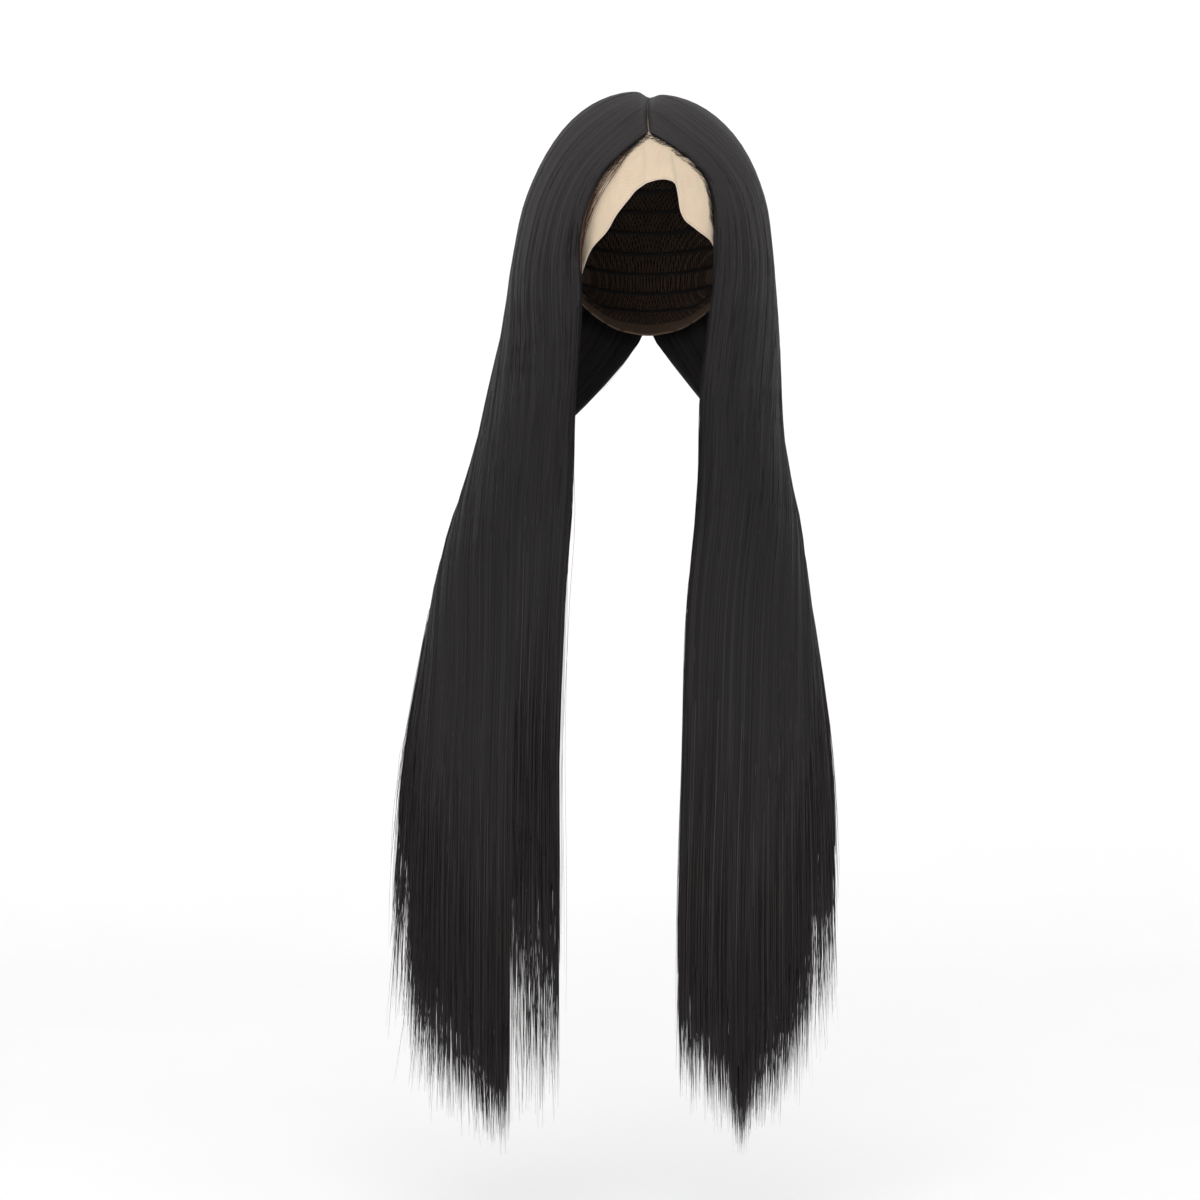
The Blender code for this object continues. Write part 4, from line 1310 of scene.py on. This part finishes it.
def make_wefts(settings):
    """Rows of sewn hair inside the net: flat tapes at even heights from ear to ear."""
    count, steps = settings.weft_rows, 90
    highest, lowest = WEFT_POLAR_ANGLES
    share = np.linspace(0, 1, steps)[None, :]
    polar = np.linspace(highest, lowest, count)[:, None]
    reach = np.interp(polar, (highest, 60.0, lowest), (62.0, 76.0, 58.0))
    azimuth = 180.0 + reach * (2 * share - 1)
    above_hem = polar_at_height(net_edge_height(azimuth)) - 4.0
    droop = 6.0 * np.cos(np.radians(azimuth - 180.0) * 1.2)
    paths = head_point(azimuth, np.minimum(polar + droop, above_hem), np.zeros_like(azimuth))
    normal = head_normal(paths)
    down = unit(np.cross(normal, unit(np.gradient(paths, axis=1))))
    angle = np.radians((np.arange(WEFT_SIDES) + 0.5) * 360.0 / WEFT_SIDES)[:, None]
    half_width, half_depth = WEFT_HALF_SIZES
    ring = np.cos(angle) * down[:, :, None] * half_width
    ring = ring + np.sin(angle) * normal[:, :, None] * half_depth
    points = (paths + normal * 0.0002)[:, :, None] + ring
    number = np.arange(count * steps * WEFT_SIDES).reshape(count, steps, WEFT_SIDES)
    after = np.roll(number, -1, axis=2)
    quads = np.stack([number[:, :-1], after[:, :-1], after[:, 1:], number[:, 1:]], -1)
    centre = number.size + np.arange(2 * count).reshape(2, count, 1)
    first = np.stack(np.broadcast_arrays(after[:, 0], number[:, 0], centre[0]), -1)
    last = np.stack(np.broadcast_arrays(number[:, -1], after[:, -1], centre[1]), -1)
    triangles = np.concatenate([first.reshape(-1, 3), last.reshape(-1, 3)])
    ends = [points[:, 0].mean(axis=1), points[:, -1].mean(axis=1)]
    points = np.concatenate([points.reshape(-1, 3), *ends])
    material = shared_material("weft_thread", thread_material, "weft_thread", settings.weft_colour)
    piece = make_mesh("weft_rows", points, quads.reshape(-1, 4), triangles, material)
    return finished(piece, "net")


def make_band_strip(settings):
    """The elastic hem: a closed strip whose outside swells into even lengthwise ribs."""
    azimuth = hem_azimuths(BAND_COLUMNS)
    share = np.linspace(0, 1, BAND_ROWS)[:, None]
    top = net_edge_height(azimuth)[None, :] - 0.0006
    polar = polar_at_height(top - share * BAND_HEIGHT)
    ribs = RIB_HEIGHT * np.cos(share * 2 * math.pi * BAND_RIBS) * np.ones_like(polar)
    stretch = STRETCH_HEIGHT * np.sin(np.radians(azimuth)[None, :] * 150)
    outer = head_point(azimuth[None, :], polar, BAND_SKINS[0] + ribs + stretch)
    inner = head_point(azimuth[None, :], polar, BAND_SKINS[1] - ribs)
    material = shared_material("woven_elastic", band_material, settings)
    piece = closed_wall("elastic_strip", outer, inner, 1, material, length_map(outer))
    return finished(piece, "band", "edge_band"), inner


def make_zigzag(name, path, normal, lift, colour):
    """A zigzag thread: a path that swings from side to side of a seam, a stitch a swing."""
    across = unit(np.cross(unit(np.gradient(path, axis=0)), normal))
    length = np.linalg.norm(np.diff(path, axis=0), axis=1)
    length = np.concatenate([[0.0], np.cumsum(length)])
    place = np.linspace(0, length[-1], 2 * int(length[-1] / STITCH_PITCH) + 1)
    swing = np.where(np.arange(len(place)) % 2, 1.0, -1.0) * STITCH_WIDTH / 2
    middle, side, out = (
        np.stack([np.interp(place, length, values[:, k]) for k in range(3)], axis=-1)
        for values in (path, across, normal)
    )
    points = (middle + side * swing[:, None] + out * lift)[None]
    radii = np.full(points.shape[:2], SEWING_THREAD_RADIUS)
    material = shared_material(name, thread_material, name, colour)
    return make_tubes(name, points, out[None], radii, material, [0.5])


def make_stitching(strip_inner, settings):
    """Zigzag seams: inside along the elastic, and over the seam of lace and net."""
    row = strip_inner[4]
    colour = settings.net_colour
    low = make_zigzag("elastic_stitching", row, head_normal(row), -0.0003, colour)
    direction = seam_points(140)
    seam, normal = HEAD_CENTRE + direction * HEAD_HALF_SIZES, unit(direction / HEAD_HALF_SIZES)
    high = make_zigzag("seam_stitching", seam, normal, 0.0001, colour)
    return finished(low, "band"), finished(high, "net")


def make_paper_sweep(settings):
    """The floor and wall as one sheet: a flat profile, a quarter circle and an upright."""
    bend, depth, height, half_width = 0.9, 1.2, 3.4, 4.5
    turn = np.radians(np.linspace(0, 90, 25))
    along = np.concatenate([[-5.0], depth + bend * np.sin(turn), [depth + bend]])
    up = np.concatenate([[0.0], bend * (1 - np.cos(turn)), [height]]) + settings.floor_height
    across = np.array([-half_width, half_width])
    points = np.stack(np.broadcast_arrays(across[None, :], along[:, None], up[:, None]), axis=-1)
    quads = grid_quads(np.arange(len(along) * 2).reshape(-1, 2))[:, [0, 3, 2, 1]]
    material, tree, shader = new_material("paper", Roughness=0.9, Specular_IOR_Level=0.1)
    place = add_node(tree, "ShaderNodeTexCoord").outputs["Object"]
    grain = stretched_noise(tree, place, (3.0, 3.0, 3.0))
    deep = times(0.985, settings.paper_colour)
    ramp = add_ramp(tree, grain, (0.3, deep), (0.7, settings.paper_colour))
    set_looks(tree, shader, None, Base_Color=ramp)
    mesh = bpy.data.meshes.new("paper_sweep")
    mesh.from_pydata(points.reshape(-1, 3).tolist(), [], quads.tolist())
    mesh.materials.append(material)
    mesh.shade_smooth()
    sweep = bpy.data.objects.new("paper_sweep", mesh)
    bpy.context.scene.collection.objects.link(sweep)


def add_soft_lamp(name, place, target, size, power):
    """A soft lamp of a width and height at a place, turned to its target."""
    lamp = bpy.data.lights.new(name, "AREA")
    lamp.shape = "RECTANGLE"
    lamp.size, lamp.size_y = size
    lamp.energy = power
    holder = bpy.data.objects.new(name, lamp)
    bpy.context.scene.collection.objects.link(holder)
    holder.location = place
    holder.rotation_mode = "QUATERNION"
    holder.rotation_quaternion = (Vector(target) - Vector(place)).to_track_quat("-Z", "Y")


def make_lights(settings):
    """Even light from all round, a tall soft lamp on either side and one over the crown."""
    world = bpy.data.worlds.new("room")
    world.use_nodes = True
    background = world.node_tree.nodes["Background"]
    background.inputs["Color"].default_value = (1.0, 1.0, 1.0, 1.0)
    background.inputs["Strength"].default_value = settings.room_light
    bpy.context.scene.world = world
    middle = (0.0, 0.0, -0.30)
    crown = (0.0, 0.0, -0.05)
    add_soft_lamp("key_lamp", (-1.3, -3.0, 0.0), middle, (2.4, 1.7), settings.key_light)
    add_soft_lamp("fill_lamp", (1.9, -2.6, 0.0), middle, (1.8, 1.7), settings.key_light * 0.6)
    add_soft_lamp("crown_lamp", (-0.3, -1.9, 1.25), crown, (1.8, 1.2), settings.key_light * 0.5)


def make_camera(settings):
    """A level camera that looks along +Y."""
    camera = bpy.data.cameras.new("camera")
    camera.lens = settings.lens
    holder = bpy.data.objects.new("camera", camera)
    holder.location = settings.camera_place
    holder.rotation_euler = (math.radians(90.0), 0.0, 0.0)
    bpy.context.scene.collection.objects.link(holder)
    bpy.context.scene.camera = holder
    bpy.context.scene.view_settings.view_transform = "Standard"


def colour_setting(name, description, default):
    """A colour that the user may change."""
    return FloatVectorProperty(
        name=name, description=description, subtype="COLOR", default=default, min=0.0, max=1.0
    )


def length_setting(name, description, default):
    """A length in metres that the user may change."""
    return FloatProperty(name=name, description=description, unit="LENGTH", default=default)


def share_setting(name, description, default):
    """A number from 0 to 1 that the user may change."""
    return FloatProperty(
        name=name, description=description, subtype="FACTOR", default=default, min=0.0, max=1.0
    )


def count_setting(name, description, default, lowest=1):
    """A whole number that the user may change."""
    return IntProperty(name=name, description=description, default=default, min=lowest)


class HairSettings(PropertyGroup):
    """What a user may change about the hair."""

    fibre_colour: colour_setting(
        "Fibre colour", "Colour of most of the fibres", (0.0085, 0.0078, 0.0081)
    )
    # The lightest fibres' colour: partly their own lighter tone, partly painted sheen
    streak_and_sheen_colour: colour_setting(
        "Streak colour", "Colour of the lightest fibres", (0.032, 0.026, 0.026)
    )
    # Painted light: the brown of the loose strands before the lace stands for light shining through
    # them
    fringe_colour: colour_setting(
        "Loose strand colour",
        "Colour of the loose strands before the lace, with light through them",
        (0.13, 0.068, 0.042),
    )
    gloss: share_setting("Gloss", "Strength of the fibres' reflection", 0.12)
    strand_width: length_setting(
        "Strand width", "Width of a long strand, which stands for a few fibres", 0.00055
    )
    wisp_width: length_setting(
        "Wisp width", "Width of the strands at the ends of the hair", 0.00030
    )
    baby_width: length_setting(
        "Fine hair width", "Width of single hairs at the hairline and of stray hairs", 0.00025
    )
    fringe_width: length_setting(
        "Loose strand width", "Width of the loose strands before the lace", 0.00050
    )
    crown_strands: count_setting("Crown strands", "Strands over the head in each bundle", 200)
    fall_strands: count_setting("Fall strands", "Strands down to the ends in each bundle", 130)
    inner_strands: count_setting("Inner strands", "Strands on the inside of each fall", 260)
    tip_wisps: count_setting("Tip wisps", "Thin strands at the ends of each bundle", 700)
    baby_hairs: count_setting("Baby hairs", "Short hairs along the hairline of each side", 380)
    fringe_strands: count_setting("Loose strands", "Loose strands before the lace", 10)
    flyaways: count_setting("Stray hairs", "Stray hairs that stand off each side", 170)
    crossing_strands: count_setting(
        "Crossing strands", "Strands from each side that cross the middle of the back", 200
    )


class CapSettings(PropertyGroup):
    """What a user may change about the lace, the net and the elastic."""

    lace_colour: colour_setting(
        "Lace colour", "Colour of the lace's threads", (0.57, 0.455, 0.335)
    )
    # Painted shade on one flank of each of the lace's folds
    fold_shade_colour: colour_setting(
        "Crease colour", "Colour of the shaded side of the lace's folds", (0.40, 0.36, 0.26)
    )
    lace_cover: share_setting(
        "Lace cover", "How much the gaps between the lace's threads still cover", 0.70
    )
    lace_pitch: length_setting("Lace pitch", "Distance between the lace's threads", 0.0009)
    lace_wall: length_setting("Lace thickness", "Thickness of the lace", 0.0004)
    edge_colour: colour_setting(
        "Cut edge colour",
        "Colour of the lace's uncut edge, where its threads lie close",
        (0.78, 0.66, 0.57),
    )
    net_colour: colour_setting(
        "Net colour", "Colour of the net behind the lace", (0.075, 0.050, 0.036)
    )
    net_pitch: length_setting("Net pitch", "Distance between the net's threads", 0.0034)
    weft_rows: count_setting("Weft rows", "Rows of sewn hair inside the net", 9, 2)
    weft_colour: colour_setting(
        "Weft colour", "Colour of the sewn rows of hair", (0.012, 0.010, 0.010)
    )
    band_colour: colour_setting("Elastic colour", "Colour of the elastic hem", (0.15, 0.10, 0.07))


class StageSettings(PropertyGroup):
    """What a user may change about the stage, the light and the camera."""

    paper_colour: colour_setting(
        "Paper colour", "Colour of the floor and the paper behind", (0.93, 0.93, 0.93)
    )
    room_light: FloatProperty(
        name="Room light",
        description="Strength of the even light from all round",
        default=0.95,
        min=0.0,
    )
    key_light: FloatProperty(
        name="Key light",
        description="Power of the largest soft lamp",
        unit="POWER",
        default=22.0,
        min=0.0,
    )
    floor_height: length_setting(
        "Floor height", "Height of the floor below the ends of the hair", -0.86
    )
    camera_place: FloatVectorProperty(
        name="Camera place",
        description="Where the camera stands",
        subtype="TRANSLATION",
        unit="LENGTH",
        default=(-0.039, -2.0, -0.387),
    )
    lens: FloatProperty(
        name="Lens",
        description="Focal length of the camera",
        subtype="DISTANCE_CAMERA",
        default=76.9,
    )


class WIG_OT_hair_masses(Operator):
    """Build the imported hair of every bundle"""

    bl_idname = "wig.hair_masses"
    bl_label = "Packed hair"

    def execute(self, context):
        for which in HAIR:
            for number in range(len(BUNDLES)):
                make_mass(which, number, context.scene.wig_hair)
        return {"FINISHED"}


class WIG_OT_long_strands(Operator):
    """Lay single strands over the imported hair, on the head and down to the ends"""

    bl_idname = "wig.long_strands"
    bl_label = "Long strands"

    def execute(self, context):
        settings = context.scene.wig_hair
        for which in HAIR:
            for number in range(len(BUNDLES)):
                make_crown_strands(which, number, settings)
                make_fall_strands(which, number, settings)
            make_inner_strands(which, settings)
        for which in HAIR:
            make_crossing_strands(which, settings)
        return {"FINISHED"}


class WIG_OT_tip_wisps(Operator):
    """Add the thin, sparse ends of the hair"""

    bl_idname = "wig.tip_wisps"
    bl_label = "Thin ends"

    def execute(self, context):
        for which in HAIR:
            for number in range(len(BUNDLES)):
                make_tip_wisps(which, number, context.scene.wig_hair)
        return {"FINISHED"}


class WIG_OT_hairline(Operator):
    """Add the short hairs and knots of the hairline and the loose strands before the lace"""

    bl_idname = "wig.hairline"
    bl_label = "Hairline"

    def execute(self, context):
        settings = context.scene.wig_hair
        for which in HAIR:
            _, roots = make_baby_hairs(which, settings)
            make_knots(which, roots, settings)
        make_loose_fringe(settings)
        return {"FINISHED"}


class WIG_OT_stray_hairs(Operator):
    """Add the stray hairs and the single strands beside the edges of the falls"""

    bl_idname = "wig.stray_hairs"
    bl_label = "Stray hairs"

    def execute(self, context):
        settings = context.scene.wig_hair
        for row in EDGE_STRANDS:
            make_edge_strands(*row, settings)
        for which in HAIR:
            make_flyaways(which, settings)
        return {"FINISHED"}


class WIG_OT_lace(Operator):
    """Build the lace panel and its uncut edge"""

    bl_idname = "wig.lace"
    bl_label = "Lace front"

    def execute(self, context):
        settings = context.scene.wig_cap
        piece, outer, area = make_lace_sheet(settings)
        thread = make_edge_thread(outer, settings)
        return {"FINISHED"}


class WIG_OT_net(Operator):
    """Build the net crown and the rows of sewn hair inside it"""

    bl_idname = "wig.net"
    bl_label = "Net crown"

    def execute(self, context):
        make_net_sheet(context.scene.wig_cap)
        make_wefts(context.scene.wig_cap)
        return {"FINISHED"}


class WIG_OT_band(Operator):
    """Build the elastic hem and the zigzag seams"""

    bl_idname = "wig.band"
    bl_label = "Elastic hem"

    def execute(self, context):
        _, inner = make_band_strip(context.scene.wig_cap)
        make_stitching(inner, context.scene.wig_cap)
        return {"FINISHED"}


class WIG_OT_stage(Operator):
    """Set the paper sweep, the soft lights and the camera"""

    bl_idname = "wig.stage"
    bl_label = "Stage"

    def execute(self, context):
        settings = context.scene.wig_stage
        make_paper_sweep(settings)
        make_lights(settings)
        make_camera(settings)
        return {"FINISHED"}


class WIG_PT_panel(Panel):
    """The wig's pieces and their settings"""

    bl_idname = "WIG_PT_panel"
    bl_label = "Lace front wig"
    bl_space_type = "VIEW_3D"
    bl_region_type = "UI"
    bl_category = "Wig"

    def draw(self, context):
        for group in ("wig_hair", "wig_cap", "wig_stage"):
            box = self.layout.box()
            settings = getattr(context.scene, group)
            for name in settings.bl_rna.properties.keys():
                if name not in ("rna_type", "name"):
                    box.prop(settings, name)
        for operator in OPERATORS:
            self.layout.operator(operator.bl_idname)


OPERATORS = (
    WIG_OT_stage,
    WIG_OT_lace,
    WIG_OT_net,
    WIG_OT_band,
    WIG_OT_hair_masses,
    WIG_OT_long_strands,
    WIG_OT_tip_wisps,
    WIG_OT_hairline,
    WIG_OT_stray_hairs,
)
SETTINGS = {"wig_hair": HairSettings, "wig_cap": CapSettings, "wig_stage": StageSettings}


def register():
    """Make the settings, operators and panel known."""
    for group in SETTINGS.values():
        bpy.utils.register_class(group)
    for name, group in SETTINGS.items():
        setattr(bpy.types.Scene, name, PointerProperty(type=group))
    for operator in OPERATORS:
        bpy.utils.register_class(operator)
    bpy.utils.register_class(WIG_PT_panel)


def unregister():
    """Take them away again, in the other order."""
    bpy.utils.unregister_class(WIG_PT_panel)
    for operator in reversed(OPERATORS):
        bpy.utils.unregister_class(operator)
    for name, group in SETTINGS.items():
        delattr(bpy.types.Scene, name)
        bpy.utils.unregister_class(group)


def main():
    """Run every operator in order."""
    register()
    for operator in OPERATORS:
        family, _, verb = operator.bl_idname.partition(".")
        getattr(getattr(bpy.ops, family), verb)()


if __name__ == "__main__":
    main()
